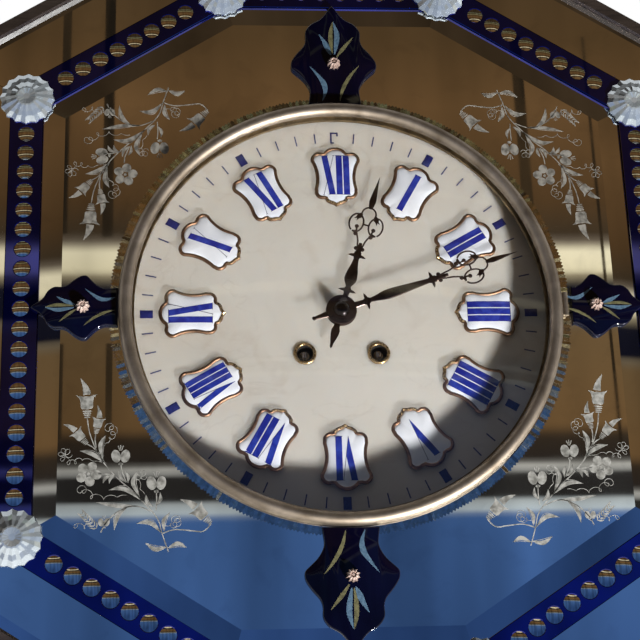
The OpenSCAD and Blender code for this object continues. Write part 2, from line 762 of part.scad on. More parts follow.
// Movement frame
arbor_max = 1.6;
barrel_arbor_r = 2.6;
pillar_spots = [for (a = [55, 125, 190, 270, 350]) polar(plate_r - 5, a)];
module plate_holes() {
  both_sides() translate(barrel_p) circle(r = barrel_arbor_r + run_gap);
  for (p = [second_p, third_p, escape_p, pivot_p, strike_p, pin_p, fly_p, hammer_p])
    translate(p) circle(r = arbor_r + run_gap);
  circle(r = arbor_max + run_gap);
}
module front_plate() {
  color(brass) upright() {
    slab(front_z, plate_t) difference() {
      circle(r = plate_r);
      plate_holes();
    }
    post(minute_p, arbor_r, front_z + plate_t, hour_wheel_z + 4);
    both_sides() post(click_p, click_pin_r, front_z + plate_t, ratchet_z + click_t + 0.6);
  }
}
module back_plate() {
  color(brass) upright() slab(back_z, plate_t) difference() {
    circle(r = plate_r);
    plate_holes();
  }
}
module plate_pillars() {
  color(brass) upright() for (p = pillar_spots) post(p, pillar_r, back_z + plate_t, front_z);
}
stand_p = [40, -30];
bell_p = [0, 0];
// Radius of the bell's dome, so that its rim is as wide as asked at its depth
bell_ball = (bell_r * bell_r + bell_h * bell_h) / (2 * bell_h);
module bell() {
  color("#c8c0a8") upright() at(bell_p, bell_z) difference() {
    intersection() {
      translate([0, 0, bell_ball]) sphere(r = bell_ball);
      cylinder(r = bell_r, h = bell_h);
    }
    translate([0, 0, bell_ball]) sphere(r = bell_ball - bell_t);
    translate([0, 0, -1]) cylinder(r = 1.5 + seat_gap, h = bell_t + 3);
  }
}
module bell_stand() {
  arm_t = 1.6;
  reach = norm(stand_p - bell_p);
  color(steel) upright() {
    post(stand_p, 2, bell_z - arm_t - 0.1, back_z);
    at(bell_p, bell_z - arm_t - 0.1, bearing(bell_p, stand_p))
      translate([0, -2.5, 0]) cube([reach, 5, arm_t]);
    post(bell_p, 1.5, bell_z - arm_t, bell_z + bell_t + 1);
  }
}
block_y = pivot_p.y + 7;
spring_w = 5;
module suspension_block() {
  color(brass) upright() {
    translate([-14, block_y, pendulum_z - 1]) cube([28, 8, crutch_z - pendulum_z + 4.5]);
    for (x = [-14, 10])
      translate([x, pivot_p.y - 7, crutch_z + 2.5])
        cube([4, block_y + 8 - pivot_p.y + 7, back_z - crutch_z - 2.5]);
  }
}
spring_t = 0.3;
clamp_drop = 6;
module suspension_spring() {
  color("silver") upright() translate([-spring_t / 2, pivot_p.y - clamp_drop, pendulum_z - spring_w / 2 + 2])
    cube([spring_t, block_y - pivot_p.y + clamp_drop, spring_w]);
}

// Motion work
module cannon_pinion() {
  color(steel) upright() difference() {
    union() {
      at([0, 0], cannon_z) pinion(cannon_n, motion_m, 2.6);
      post([0, 0], cannon_r, cannon_z + 2.6, nut_z);
    }
    post([0, 0], arbor_max + seat_gap, cannon_z - 1, nut_z + 1);
  }
}
minute_turn_0 = mesh_turn(bearing([0, 0], minute_p), 0, cannon_n, minute_n);
module minute_wheel() {
  color(brass) upright() at(minute_p) difference() {
    union() {
      translate([0, 0, cannon_z + 0.4]) rotate(minute_turn_0) wheel(minute_n, motion_m, arbor_r + run_gap);
      translate([0, 0, cannon_z + 0.4 + wheel_t])
        pinion(minute_pinion_n, hour_m, hour_wheel_z - cannon_z + 1.4);
    }
    translate([0, 0, cannon_z - 1]) cylinder(r = arbor_r + run_gap, h = 20);
  }
}
hour_turn_0 = mesh_turn(bearing(minute_p, [0, 0]), 0, minute_pinion_n, hour_n);
module hour_wheel() {
  color(brass) upright() difference() {
    union() {
      at([0, 0], hour_wheel_z, hour_turn_0) linear_extrude(wheel_t) wheel_teeth(hour_n, hour_m);
      post([0, 0], hour_pipe_r, hour_wheel_z, hour_z + hand_t);
    }
    post([0, 0], cannon_r + run_gap, hour_wheel_z - 1, nut_z);
  }
}

// Going train
module arbor(p, z0 = back_z - 0.3, z1 = front_z + plate_t + 0.3) {
  post(p, arbor_r, z0, z1);
}
module centre_wheel() {
  color(brass) upright() {
    at([0, 0], centre_wheel_z) wheel(centre_n, wheel_m, arbor_max - 0.2);
    at([0, 0], second_wheel_z - 1) pinion(centre_pinion_n, wheel_m, wheel_t + 2);
    post([0, 0], arbor_max, back_z, nut_z + nut_h - 1.6);
  }
}
second_turn = mesh_turn(bearing([0, 0], second_p), 0, centre_pinion_n, second_n);
module second_arbor(p, turn, wheel_z, z0 = back_z - 0.3) {
  at(p, wheel_z, turn) wheel(second_n, wheel_m, arbor_r - 0.1);
  at(p, barrel_wheel_z - 0.4) pinion(second_pinion_n, barrel_m, 3.4);
  post(p, arbor_r, z0, front_z + plate_t + 0.3);
}
module intermediate_wheel() {
  color(brass) upright() second_arbor(second_p, second_turn, second_wheel_z);
}
third_turn = mesh_turn(bearing([0, 0], third_p), 0, centre_n, third_pinion_n);
module third_wheel() {
  color(brass) upright() {
    at(third_p, third_wheel_z) wheel(third_n, fast_m, arbor_r - 0.1);
    at(third_p, centre_wheel_z - 0.8, third_turn) pinion(third_pinion_n, wheel_m, wheel_t + 1.6);
    arbor(third_p);
  }
}
escape_turn = mesh_turn(bearing(third_p, escape_p), 0, third_n, escape_pinion_n);
module escape_wheel() {
  color(brass) upright() {
    at(escape_p, escape_wheel_z) linear_extrude(wheel_t) difference() {
      polygon([
        for (i = [0 : escape_n - 1])
          for (s = [[0, escape_r], [0.15, escape_r], [0.45, escape_r - 2.2], [0.75, escape_r - 2.2]])
            polar(s[1], 360 / escape_n * (i + s[0]))
      ]);
      difference() {
        circle(r = escape_r - 4);
        circle(r = 3);
        for (i = [0 : 1]) rotate(90 * i) square([2 * escape_r - 6, 1.6], center = true);
      }
    }
    at(escape_p, third_wheel_z - 0.8, escape_turn) pinion(escape_pinion_n, fast_m, wheel_t + 1.6);
    arbor(escape_p);
  }
}
// Anchor with its crutch, whose fork straddles the pendulum rod
fork_y = 10;
fork_gap = 0.35;
module anchor() {
  span = 48;
  reach = escape_r + 0.8;
  drop = pivot_p.y - escape_p.y;
  tip = polar(reach, 90 - span) - [0, drop];
  color(steel) upright() at(pivot_p) {
    translate([0, 0, escape_wheel_z]) linear_extrude(wheel_t) {
      circle(r = 3);
      both_sides() polygon([[0, -1.5], [tip.x - 1, tip.y + 3.6], tip, [tip.x + 1.6, tip.y],
                            [tip.x + 2, tip.y + 4.5], [0, 2.5]]);
    }
    translate([0, 0, crutch_z]) cylinder(r = arbor_r, h = front_z + plate_t + 0.3 - crutch_z);
    translate([-1.2, fork_y - pivot_p.y, crutch_z]) cube([2.4, pivot_p.y - fork_y + 1.2, 1.4]);
    both_sides() translate([rod_r + fork_gap, fork_y - pivot_p.y, pendulum_z])
      cube([1.2, 3, crutch_z - pendulum_z + 1.4]);
    translate([-rod_r - fork_gap - 1.2, fork_y - pivot_p.y, crutch_z])
      cube([2 * (rod_r + fork_gap + 1.2), 3, 1.4]);
  }
}
rod_end = box_t - box_h / 2 + pendulum_room;
bob_y = rod_end + bob_r + 12;
module pendulum_rod() {
  clamp_h = 7;
  color(steel) upright() {
    translate([0, rod_end, pendulum_z + 2]) rotate([-90, 0, 0])
      cylinder(r = rod_r, h = pivot_p.y - clamp_drop - 0.2 - rod_end);
    translate([-2.6, pivot_p.y - clamp_drop - 0.2 - clamp_h, pendulum_z - spring_w / 2 + 2])
      cube([5.2, clamp_h, spring_w]);
  }
}
// Lens-shaped bob on the rod, with the rating nut under it
rim_t = 2;
module pendulum_bob() {
  swell = (bob_t - rim_t) / 2;
  ball = (bob_r * bob_r + swell * swell) / (2 * swell);
  color(brass) upright() translate([0, bob_y, pendulum_z + 2]) {
    difference() {
      rotate([0, 0, 45]) rotate_extrude() intersection() {
        translate([0, bob_t / 2 - ball]) circle(r = ball, $fn = 128);
        translate([0, ball - bob_t / 2]) circle(r = ball, $fn = 128);
        translate([0, -bob_t]) square([bob_r, 2 * bob_t]);
      }
      translate([0, -bob_r - 1, 0]) rotate([-90, 0, 0]) cylinder(r = rod_r + seat_gap, h = 2 * bob_r + 2);
    }
    translate([0, -bob_r - 4.2, 0]) rotate([-90, 0, 0]) difference() {
      cylinder(r = 4.5, h = 4);
      translate([0, 0, -1]) cylinder(r = rod_r + seat_gap, h = 6);
    }
  }
}

// Barrels, winding arbors and clicks
module barrel_piece() {
  wall = 1.4;
  drum_r = gear_r(barrel_n, barrel_m) - 1.6;
  translate([0, 0, barrel_wheel_z]) difference() {
    union() {
      linear_extrude(wheel_t + 1) wheel_teeth(barrel_n, barrel_m);
      cylinder(r = drum_r, h = barrel_h);
    }
    translate([0, 0, wall + 1]) cylinder(r = drum_r - wall, h = barrel_h - 2 * wall - 1);
    translate([0, 0, -1]) cylinder(r = barrel_arbor_r + run_gap, h = barrel_h + 2);
  }
}
barrel_turn = mesh_turn(bearing(second_p, barrel_p), 0, second_pinion_n, barrel_n);
module going_barrel() {
  color(brass) upright() at(barrel_p, 0, barrel_turn) barrel_piece();
}
strike_barrel_turn = mesh_turn(bearing(strike_p, flip(barrel_p)), 0, second_pinion_n, barrel_n);
module strike_barrel() {
  color(brass) upright() at(flip(barrel_p), 0, strike_barrel_turn) barrel_piece();
}
wind_end = dial_z - 3;
module winding_arbor() {
  post([0, 0], barrel_arbor_r, back_z, ratchet_z + 3.4);
  translate([-square_w / 2, -square_w / 2, ratchet_z + 3])
    cube([square_w, square_w, wind_end - ratchet_z - 3]);
  translate([0, 0, ratchet_z]) linear_extrude(2.4) polygon([
    for (i = [0 : ratchet_n - 1])
      for (s = [[0, ratchet_r - 1.4], [0.9, ratchet_r]]) polar(s[1], 360 / ratchet_n * (i + s[0]))
  ]);
}
module going_arbor() {
  color(steel) upright() at(barrel_p) winding_arbor();
}
module strike_arbor() {
  color(steel) upright() mirror([1, 0, 0]) at(barrel_p) winding_arbor();
}
click_p = barrel_p + polar(ratchet_r + 5, -40);
click_pin_r = 1.2;
click_t = 2;
module click_piece() {
  nose = polar(ratchet_r + 0.5, 5);
  tail = click_p - barrel_p;
  at(barrel_p, ratchet_z + 0.2) linear_extrude(click_t) difference() {
    union() {
      translate(tail) circle(r = 2.4);
      polygon([tail + [2, 0.6], nose + [1.4, 1], nose, tail + [-2, 0.6]]);
    }
    translate(tail) circle(r = click_pin_r + run_gap);
  }
}
module going_click() {
  color(steel) upright() click_piece();
}
module strike_click() {
  color(steel) upright() mirror([1, 0, 0]) click_piece();
}

// Striking train
strike_turn = mesh_turn(bearing(strike_p, pin_p), 0, second_n, pin_pinion_n);
count_r = 17;
module strike_wheel() {
  color(brass) upright() {
    second_arbor(strike_p, 0, strike_wheel_z, count_z - 0.4);
    at(strike_p, count_z) linear_extrude(1.2) difference() {
      circle(r = count_r);
      circle(r = arbor_r - 0.1);
      for (k = [1 : 12])
        rotate(360 * (k * (k + 1) / 2 + k) / 90) translate([count_r, 0]) square([5, 1.6], center = true);
    }
  }
}
module pin_wheel() {
  color(brass) upright() {
    at(pin_p, third_wheel_z) wheel(pin_n, fast_m, arbor_r - 0.1);
    at(pin_p, strike_wheel_z - 0.8, strike_turn) pinion(pin_pinion_n, wheel_m, wheel_t + 1.6);
    for (k = [0 : 7])
      post(pin_p + polar(gear_r(pin_n, fast_m) - 2, 45 * k), 0.5,
           third_wheel_z + wheel_t - 0.1, third_wheel_z + 4);
    arbor(pin_p);
  }
}
fly_turn = mesh_turn(bearing(pin_p, fly_p), 0, pin_n, fly_pinion_n);
module fly() {
  color(brass) upright() {
    at(fly_p, third_wheel_z - 0.8, fly_turn) pinion(fly_pinion_n, fast_m, wheel_t + 1.6);
    at(fly_p, fly_z) translate([-9, -0.4, 0]) cube([18, 0.8, 12]);
    arbor(fly_p);
  }
}
// Hammer on its arbor, with its head outside the bell's rim
hammer_z = bell_z + bell_h - 6;
head_r = 4;
head_p = polar(bell_r + head_r + 1.2, 150);
module hammer() {
  arm = head_p - hammer_p;
  color(steel) upright() {
    arbor(hammer_p, hammer_z - 2);
    at(hammer_p, hammer_z - 1.5, bearing(hammer_p, head_p)) {
      cylinder(r = 3, h = 3);
      translate([0, -1.2, 0.3]) cube([norm(arm), 2.4, 2.4]);
    }
    at(head_p, hammer_z - 4) cylinder(r = head_r, h = 8);
  }
}

front_board();
edge_moulding();
box_sides();
back_frame();
door_hinge_plates();
hanger_plate();
case_screws();
mirror_panel();
cobalt_strips();
outer_mirror_strips();
vertex_rosettes();
leaf_ornaments();
leaf_studs();
dial_plate();
cartouche_frames();
enamel_plaques();
winding_eyelets();
bezel_hinge_plate();
front_plate();
back_plate();
plate_pillars();
movement_straps();
bell();
bell_stand();
suspension_block();
suspension_spring();
rear_door();
door_hinge_leaves();
door_button();
bezel_ring();
sight_ring();
bezel_glass();
minute_hand();
hand_nut();
cannon_pinion();
centre_wheel();
hour_hand();
hour_wheel();
minute_wheel();
going_barrel();
going_arbor();
going_click();
intermediate_wheel();
third_wheel();
escape_wheel();
anchor();
pendulum_rod();
pendulum_bob();
strike_barrel();
strike_arbor();
strike_click();
strike_wheel();
pin_wheel();
fly();
hammer();
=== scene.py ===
"""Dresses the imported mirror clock: finishes, enamelled hours, hands, cut glass and engraved sprays."""

import logging
import math
import random
from dataclasses import dataclass, field
from enum import Enum
from typing import Iterable, Sequence

import bpy
from mathutils import Matrix, Vector

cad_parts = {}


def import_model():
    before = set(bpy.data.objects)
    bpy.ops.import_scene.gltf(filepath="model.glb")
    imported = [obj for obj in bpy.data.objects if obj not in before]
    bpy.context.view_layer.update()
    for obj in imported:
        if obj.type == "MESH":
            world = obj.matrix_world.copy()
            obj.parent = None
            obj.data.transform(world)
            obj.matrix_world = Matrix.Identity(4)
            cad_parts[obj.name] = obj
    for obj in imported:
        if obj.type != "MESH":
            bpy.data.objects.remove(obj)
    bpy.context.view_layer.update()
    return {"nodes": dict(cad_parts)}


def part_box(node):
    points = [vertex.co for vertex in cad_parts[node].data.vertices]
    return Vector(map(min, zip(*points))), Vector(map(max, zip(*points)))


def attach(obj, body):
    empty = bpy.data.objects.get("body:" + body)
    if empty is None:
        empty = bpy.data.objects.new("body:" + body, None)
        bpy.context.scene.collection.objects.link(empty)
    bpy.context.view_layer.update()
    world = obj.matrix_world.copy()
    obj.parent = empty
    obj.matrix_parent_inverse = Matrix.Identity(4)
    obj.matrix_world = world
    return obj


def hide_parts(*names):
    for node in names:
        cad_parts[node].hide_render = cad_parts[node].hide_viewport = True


LOG = logging.getLogger("mirror_clock")
MM = 0.001
SMOOTH = 35.0
WELD = 1e-4

Piece = bpy.types.Object
Socket = bpy.types.NodeSocket
Point = tuple[float, float]
Knot = tuple[float, float, float, float]
Colour = tuple[float, float, float]
Span = tuple[float, float, float, float]


def rgba(colour: Colour) -> tuple[float, float, float, float]:
    """Gives a colour its alpha of one."""
    return (*colour, 1.0)


def arc(centre: Point, radius: float, start: float, end: float, count: int) -> list[Point]:
    """Samples an arc of a circle.

    Args:
        centre: The circle's centre.
        radius: The circle's radius.
        start: First angle in degrees.
        end: Last angle in degrees.
        count: Number of points, both ends included.

    Returns:
        The points in order.
    """
    angles = [math.radians(start + (end - start) * i / (count - 1)) for i in range(count)]
    return [(centre[0] + radius * math.cos(a), centre[1] + radius * math.sin(a)) for a in angles]


def polar(radii: Sequence[float]) -> list[Point]:
    """Sets points round a circle at even steps, each at its own radius.

    Args:
        radii: The radius of each point, counterclockwise.

    Returns:
        The points in order.
    """
    angles = [math.tau * i / len(radii) for i in range(len(radii))]
    return [(r * math.cos(a), r * math.sin(a)) for r, a in zip(radii, angles)]


def mirrored_outline(half: Sequence[Point]) -> list[Point]:
    """Closes a right half, drawn from the top to the bottom, into a counterclockwise outline.

    Args:
        half: The right half's points, from top to bottom.

    Returns:
        The whole outline, counterclockwise.
    """
    right = list(reversed(half))
    left = [(-x, y) for x, y in half if x > 1e-6]
    return right + left


def spline(points: Sequence[Sequence[float]], steps: int) -> list[tuple[float, ...]]:
    """Runs a smooth curve through points of any dimension.

    Args:
        points: The points to pass through.
        steps: Pieces between two of them.

    Returns:
        The sampled curve, ends included.
    """
    ends = [points[0], *points, points[-1]]
    out: list[tuple[float, ...]] = []
    for i in range(1, len(ends) - 2):
        before, start, end, after = ends[i - 1], ends[i], ends[i + 1], ends[i + 2]
        for k in range(steps):
            t = k / steps
            knot = []
            for b, s, e, a in zip(before, start, end, after):
                bend = (2 * b - 5 * s + 4 * e - a) * t**2 + (3 * s - b - 3 * e + a) * t**3
                knot.append(0.5 * (2 * s + (e - b) * t + bend))
            out.append(tuple(knot))
    out.append(tuple(points[-1]))
    return out


class Bench:
    """The modelling bench: shapes meshes with operators, in millimetres on the dial's plane."""

    @staticmethod
    def clear() -> None:
        """Leaves nothing selected."""
        bpy.ops.object.select_all(action="DESELECT")

    @staticmethod
    def focus(obj: Piece) -> None:
        """Selects one object alone and makes it active."""
        Bench.clear()
        obj.select_set(True)
        bpy.context.view_layer.objects.active = obj

    @staticmethod
    def edit(obj: Piece) -> None:
        """Opens an object in edit mode with everything selected."""
        Bench.focus(obj)
        bpy.ops.object.mode_set(mode="EDIT")
        bpy.ops.mesh.select_all(action="SELECT")

    @staticmethod
    def close(obj: Piece, smooth: float = SMOOTH) -> Piece:
        """Merges doubles, turns faces outward, leaves edit mode and smooths by angle.

        Args:
            obj: The object in edit mode.
            smooth: Largest angle in degrees that is shaded smooth.

        Returns:
            The same object.
        """
        bpy.ops.mesh.select_all(action="SELECT")
        bpy.ops.mesh.remove_doubles(threshold=WELD)
        bpy.ops.mesh.normals_make_consistent(inside=False)
        bpy.ops.object.mode_set(mode="OBJECT")
        bpy.ops.object.shade_smooth_by_angle(angle=math.radians(smooth))
        return obj

    @staticmethod
    def turned(name: str, profile: Sequence[Point], steps: int, smooth: float = SMOOTH) -> Piece:
        """Turns a profile round the z axis.

        Args:
            name: Name of the piece.
            profile: Points of radius and height, in order.
            steps: Number of steps round the axis.
            smooth: Largest angle that is shaded smooth.

        Returns:
            The turned piece.
        """
        Bench.clear()
        bpy.ops.mesh.primitive_plane_add(size=1.0)
        obj = bpy.context.object
        obj.name = name
        bpy.ops.object.mode_set(mode="EDIT")
        bpy.ops.mesh.merge(type="CENTER")
        bpy.ops.transform.translate(value=(profile[0][0], 0.0, profile[0][1]))
        for (r0, z0), (r1, z1) in zip(profile, profile[1:]):
            bpy.ops.mesh.extrude_vertices_move(TRANSFORM_OT_translate={"value": (r1 - r0, 0.0, z1 - z0)})
        bpy.ops.mesh.select_all(action="SELECT")
        bpy.ops.mesh.spin(steps=steps, angle=math.tau, center=(0, 0, 0), axis=(0, 0, 1))
        return Bench.close(obj, smooth)

    @staticmethod
    def raised(
        name: str, outline: Sequence[Point], rings: Sequence[tuple[float, float]], smooth: float = SMOOTH
    ) -> Piece:
        """Raises an outline through rings that shrink towards its middle, and closes it at both ends.

        Args:
            name: Name of the piece.
            outline: Closed outline, counterclockwise.
            rings: Share of the outline and height of each ring, from the foot to the crown.
            smooth: Largest angle that is shaded smooth.

        Returns:
            The raised piece.
        """
        Bench.clear()
        bpy.ops.mesh.primitive_circle_add(vertices=len(outline), radius=1.0, fill_type="NGON")
        obj = bpy.context.object
        obj.name = name
        share, height = rings[0]
        for vertex, (x, y) in zip(obj.data.vertices, outline):
            vertex.co = (x * share, y * share, height)
        Bench.edit(obj)
        for (k0, z0), (k1, z1) in zip(rings, rings[1:]):
            bpy.ops.mesh.extrude_region_move(TRANSFORM_OT_translate={"value": (0.0, 0.0, z1 - z0)})
            bpy.ops.transform.resize(value=(k1 / k0, k1 / k0, 1.0), center_override=(0.0, 0.0, 0.0))
        return Bench.close(obj, smooth)

    @staticmethod
    def drawn(name: str, paths: Iterable[Sequence[Knot]], closed: bool = False, sides: int = 2) -> Piece:
        """Draws round wires along paths.

        Args:
            name: Name of the piece.
            paths: Each a list of x, y, z and wire radius.
            closed: Whether each path runs back to its start.
            sides: Resolution of the wire's section.

        Returns:
            The wires as one mesh.
        """
        curve = bpy.data.curves.new(name, "CURVE")
        curve.dimensions = "3D"
        curve.bevel_depth = 1.0
        curve.bevel_resolution = sides
        curve.use_fill_caps = not closed
        for path in paths:
            Bench.strand(curve, path, closed)
        return Bench.meshed(name, curve)

    @staticmethod
    def cut(
        name: str, loops: Iterable[Sequence[Point]], thick: float, bevel: float = 0.0, rounds: int = 1
    ) -> Piece:
        """Cuts a flat shape out of sheet, with its edges rounded off inside the outline.

        Args:
            name: Name of the piece.
            loops: Closed outlines, holes among them.
            thick: Thickness of the sheet, from height zero up.
            bevel: Size of the rounded edge.
            rounds: Resolution of the rounded edge.

        Returns:
            The cut shape as a mesh.
        """
        curve = bpy.data.curves.new(name, "CURVE")
        curve.dimensions = "2D"
        curve.fill_mode = "BOTH"
        curve.extrude = thick / 2 - bevel
        curve.bevel_depth = bevel
        curve.bevel_resolution = rounds
        curve.offset = -bevel
        for loop in loops:
            Bench.strand(curve, [(x, y, 0.0, 1.0) for x, y in loop], True)
        obj = Bench.meshed(name, curve)
        obj.data.transform(Matrix.Translation((0.0, 0.0, thick / 2)))
        return obj

    @staticmethod
    def strand(curve: bpy.types.Curve, path: Sequence[Knot], closed: bool) -> None:
        """Adds a line of straight pieces to a curve.

        Args:
            curve: The curve.
            path: The line's x, y, z and radius.
            closed: Whether it runs back to its start.
        """
        line = curve.splines.new("POLY")
        line.points.add(len(path) - 1)
        for knot, (x, y, z, r) in zip(line.points, path):
            knot.co = (x, y, z, 1.0)
            knot.radius = r
        line.use_cyclic_u = closed

    @staticmethod
    def meshed(name: str, curve: bpy.types.Curve) -> Piece:
        """Makes a curve into a closed mesh piece.

        Args:
            name: Name of the piece.
            curve: The curve to convert.

        Returns:
            The mesh piece.
        """
        obj = bpy.data.objects.new(name, curve)
        bpy.context.scene.collection.objects.link(obj)
        Bench.focus(obj)
        bpy.ops.object.convert(target="MESH")
        Bench.edit(obj)
        return Bench.close(obj)

    @staticmethod
    def modified(obj: Piece, kind: str, **settings: object) -> Piece:
        """Adds a modifier with its settings and applies it.

        Args:
            obj: The piece.
            kind: The modifier's type.
            **settings: Its settings by name.

        Returns:
            The same piece.
        """
        Bench.focus(obj)
        modifier = obj.modifiers.new(kind.lower(), kind)
        for key, value in settings.items():
            setattr(modifier, key, value)
        bpy.ops.object.modifier_apply(modifier=modifier.name)
        return obj

    @staticmethod
    def copied(obj: Piece, matrix: Matrix) -> Piece:
        """Copies a piece with its own mesh, placed by a matrix.

        Args:
            obj: The piece to copy.
            matrix: Where the copy's mesh goes.

        Returns:
            The copy.
        """
        twin = obj.copy()
        twin.data = obj.data.copy()
        bpy.context.scene.collection.objects.link(twin)
        twin.data.transform(matrix)
        if matrix.determinant() < 0:
            twin.data.flip_normals()
        return twin

    @staticmethod
    def spread(obj: Piece, name: str, places: Iterable[Matrix]) -> Piece:
        """Copies a piece to several places and joins the copies into one piece.

        Args:
            obj: The model piece, which is removed.
            name: Name of the joined piece.
            places: A matrix for each copy.

        Returns:
            The joined piece.
        """
        twins = [Bench.copied(obj, place) for place in places]
        bpy.data.objects.remove(obj)
        return Bench.joined(name, twins)

    @staticmethod
    def joined(name: str, objs: Sequence[Piece]) -> Piece:
        """Joins pieces into one.

        Args:
            name: Name of the joined piece.
            objs: The pieces to join.

        Returns:
            The joined piece.
        """
        Bench.focus(objs[0])
        for obj in objs[1:]:
            obj.select_set(True)
        if len(objs) > 1:
            bpy.ops.object.join()
        objs[0].name = name
        return objs[0]


class Recipe:
    """A material's node tree, laid out step by step round its main shader."""

    CORE: Point = (0.3, 0.7)

    def __init__(self, name: str) -> None:
        """Starts a material with its main shader and object coordinates."""
        self.material = bpy.data.materials.new(name)
        self.material.use_nodes = True
        self.tree = self.material.node_tree
        self.shader = self.tree.nodes["Principled BSDF"]
        self.place = self.tree.nodes.new("ShaderNodeTexCoord").outputs["Object"]

    def fix(self, **values: object) -> None:
        """Sets values that are the same all over on the shader's own sockets."""
        for key, value in values.items():
            self.shader.inputs[key.replace("_", " ")].default_value = value

    def feed(self, socket: str, source: Socket) -> None:
        """Leads a pattern into one of the shader's sockets."""
        self.tree.links.new(source, self.shader.inputs[socket])

    def mapped(self, scale: Sequence[float], shift: Sequence[float] = (0, 0, 0)) -> Socket:
        """Stretches and moves the object coordinates.

        Args:
            scale: Stretch along each axis.
            shift: Move along each axis.

        Returns:
            The mapped coordinates.
        """
        node = self.tree.nodes.new("ShaderNodeMapping")
        node.inputs["Scale"].default_value = scale
        node.inputs["Location"].default_value = shift
        self.tree.links.new(self.place, node.inputs["Vector"])
        return node.outputs["Vector"]

    def noise(
        self,
        scale: float,
        detail: float = 4.0,
        place: Socket | None = None,
        warp: float = 0.0,
    ) -> Socket:
        """Lays a noise pattern.

        Args:
            scale: Features to the metre.
            detail: Octaves of detail.
            place: Coordinates, if not the object's own.
            warp: Distortion of the pattern.

        Returns:
            The pattern's value.
        """
        node = self.tree.nodes.new("ShaderNodeTexNoise")
        node.inputs["Scale"].default_value = scale
        node.inputs["Detail"].default_value = detail
        node.inputs["Distortion"].default_value = warp
        self.tree.links.new(place or self.place, node.inputs["Vector"])
        return node.outputs["Fac"]

    def ramp(self, source: Socket, stops: Sequence[tuple[float, Colour]]) -> Socket:
        """Turns a value into colours.

        Args:
            source: The value.
            stops: Places and colours along the ramp.

        Returns:
            The colour.
        """
        node = self.tree.nodes.new("ShaderNodeValToRGB")
        ramp = node.color_ramp
        while len(ramp.elements) < len(stops):
            ramp.elements.new(0.5)
        for element, (spot, colour) in zip(ramp.elements, stops):
            element.position = spot
            element.color = rgba(colour)
        self.tree.links.new(source, node.inputs["Fac"])
        return node.outputs["Color"]

    def span(self, source: Socket, low: float, high: float) -> Socket:
        """Spreads a pattern's middle range between two values.

        Args:
            source: The pattern.
            low: Value at its low end.
            high: Value at its high end.

        Returns:
            The spread value.
        """
        node = self.tree.nodes.new("ShaderNodeMapRange")
        node.inputs["From Min"].default_value = self.CORE[0]
        node.inputs["From Max"].default_value = self.CORE[1]
        node.inputs["To Min"].default_value = low
        node.inputs["To Max"].default_value = high
        self.tree.links.new(source, node.inputs["Value"])
        return node.outputs["Result"]

    def mixed(self, share: Socket, first: Socket, second: Socket) -> Socket:
        """Mixes two colours by a pattern.

        Args:
            share: Share of the second colour.
            first: The first colour.
            second: The second colour.

        Returns:
            The mixed colour.
        """
        node = self.tree.nodes.new("ShaderNodeMix")
        node.data_type = "RGBA"
        self.tree.links.new(share, node.inputs["Factor"])
        self.tree.links.new(first, node.inputs["A"])
        self.tree.links.new(second, node.inputs["B"])
        return node.outputs["Result"]

    def bump(self, height: Socket, strength: float, depth: float) -> None:
        """Raises the surface by a pattern.

        Args:
            height: The pattern.
            strength: Strength of the bump.
            depth: Depth in metres.
        """
        node = self.tree.nodes.new("ShaderNodeBump")
        node.inputs["Strength"].default_value = strength
        node.inputs["Distance"].default_value = depth
        self.tree.links.new(height, node.inputs["Height"])
        self.feed("Normal", node.outputs["Normal"])

    def edges(self) -> Socket:
        """Gives the pattern of worn edges and filled hollows."""
        return self.tree.nodes.new("ShaderNodeNewGeometry").outputs["Pointiness"]


@dataclass(frozen=True)
class Finish:
    """A finish with a name and the record's slot that it belongs to."""

    name: str
    slot: str

    def lay(self, recipe: Recipe) -> None:
        """Lays the finish's nodes; each kind of finish has its own."""
        raise NotImplementedError

    def material(self) -> bpy.types.Material:
        """Gives the finish's material, made on first use."""
        known = f"worn_{self.name}"
        found = bpy.data.materials.get(known)
        if found is not None:
            return found
        recipe = Recipe(known)
        self.lay(recipe)
        return recipe.material


class Grain(Enum):
    """The way a metal was worked, as the stretch of its scratches."""

    CAST = (1.0, 1.0, 1.0)
    DRAWN_ACROSS = (0.06, 1.0, 1.0)
    DRAWN_UP = (1.0, 1.0, 0.06)


@dataclass(frozen=True)
class Metal(Finish):
    """A metal with tarnish in clouds, fine scratches and brighter edges."""

    bright: Colour
    tarnish: Colour
    rough: tuple[float, float]
    grain: Grain = Grain.CAST
    cloud: float = 60.0
    dent: float = 0.25
    shine: float = 1.0

    def lay(self, recipe: Recipe) -> None:
        """Lays tarnish, roughness and scratches."""
        cloud = recipe.noise(self.cloud, 6.0, warp=0.4)
        tint = recipe.ramp(cloud, [(0.36, self.tarnish), (0.62, self.bright)])
        worn = recipe.ramp(recipe.edges(), [(0.47, self.tarnish), (0.53, self.bright)])
        blend = recipe.span(recipe.noise(self.cloud * 2.3, 3.0), 0.15, 0.55)
        recipe.feed("Base Color", recipe.mixed(blend, tint, worn))
        scratches = recipe.noise(900.0, 5.0, recipe.mapped(self.grain.value))
        recipe.feed("Roughness", recipe.span(scratches, *self.rough))
        recipe.bump(scratches, self.dent, 0.0001)
        recipe.fix(Metallic=self.shine)


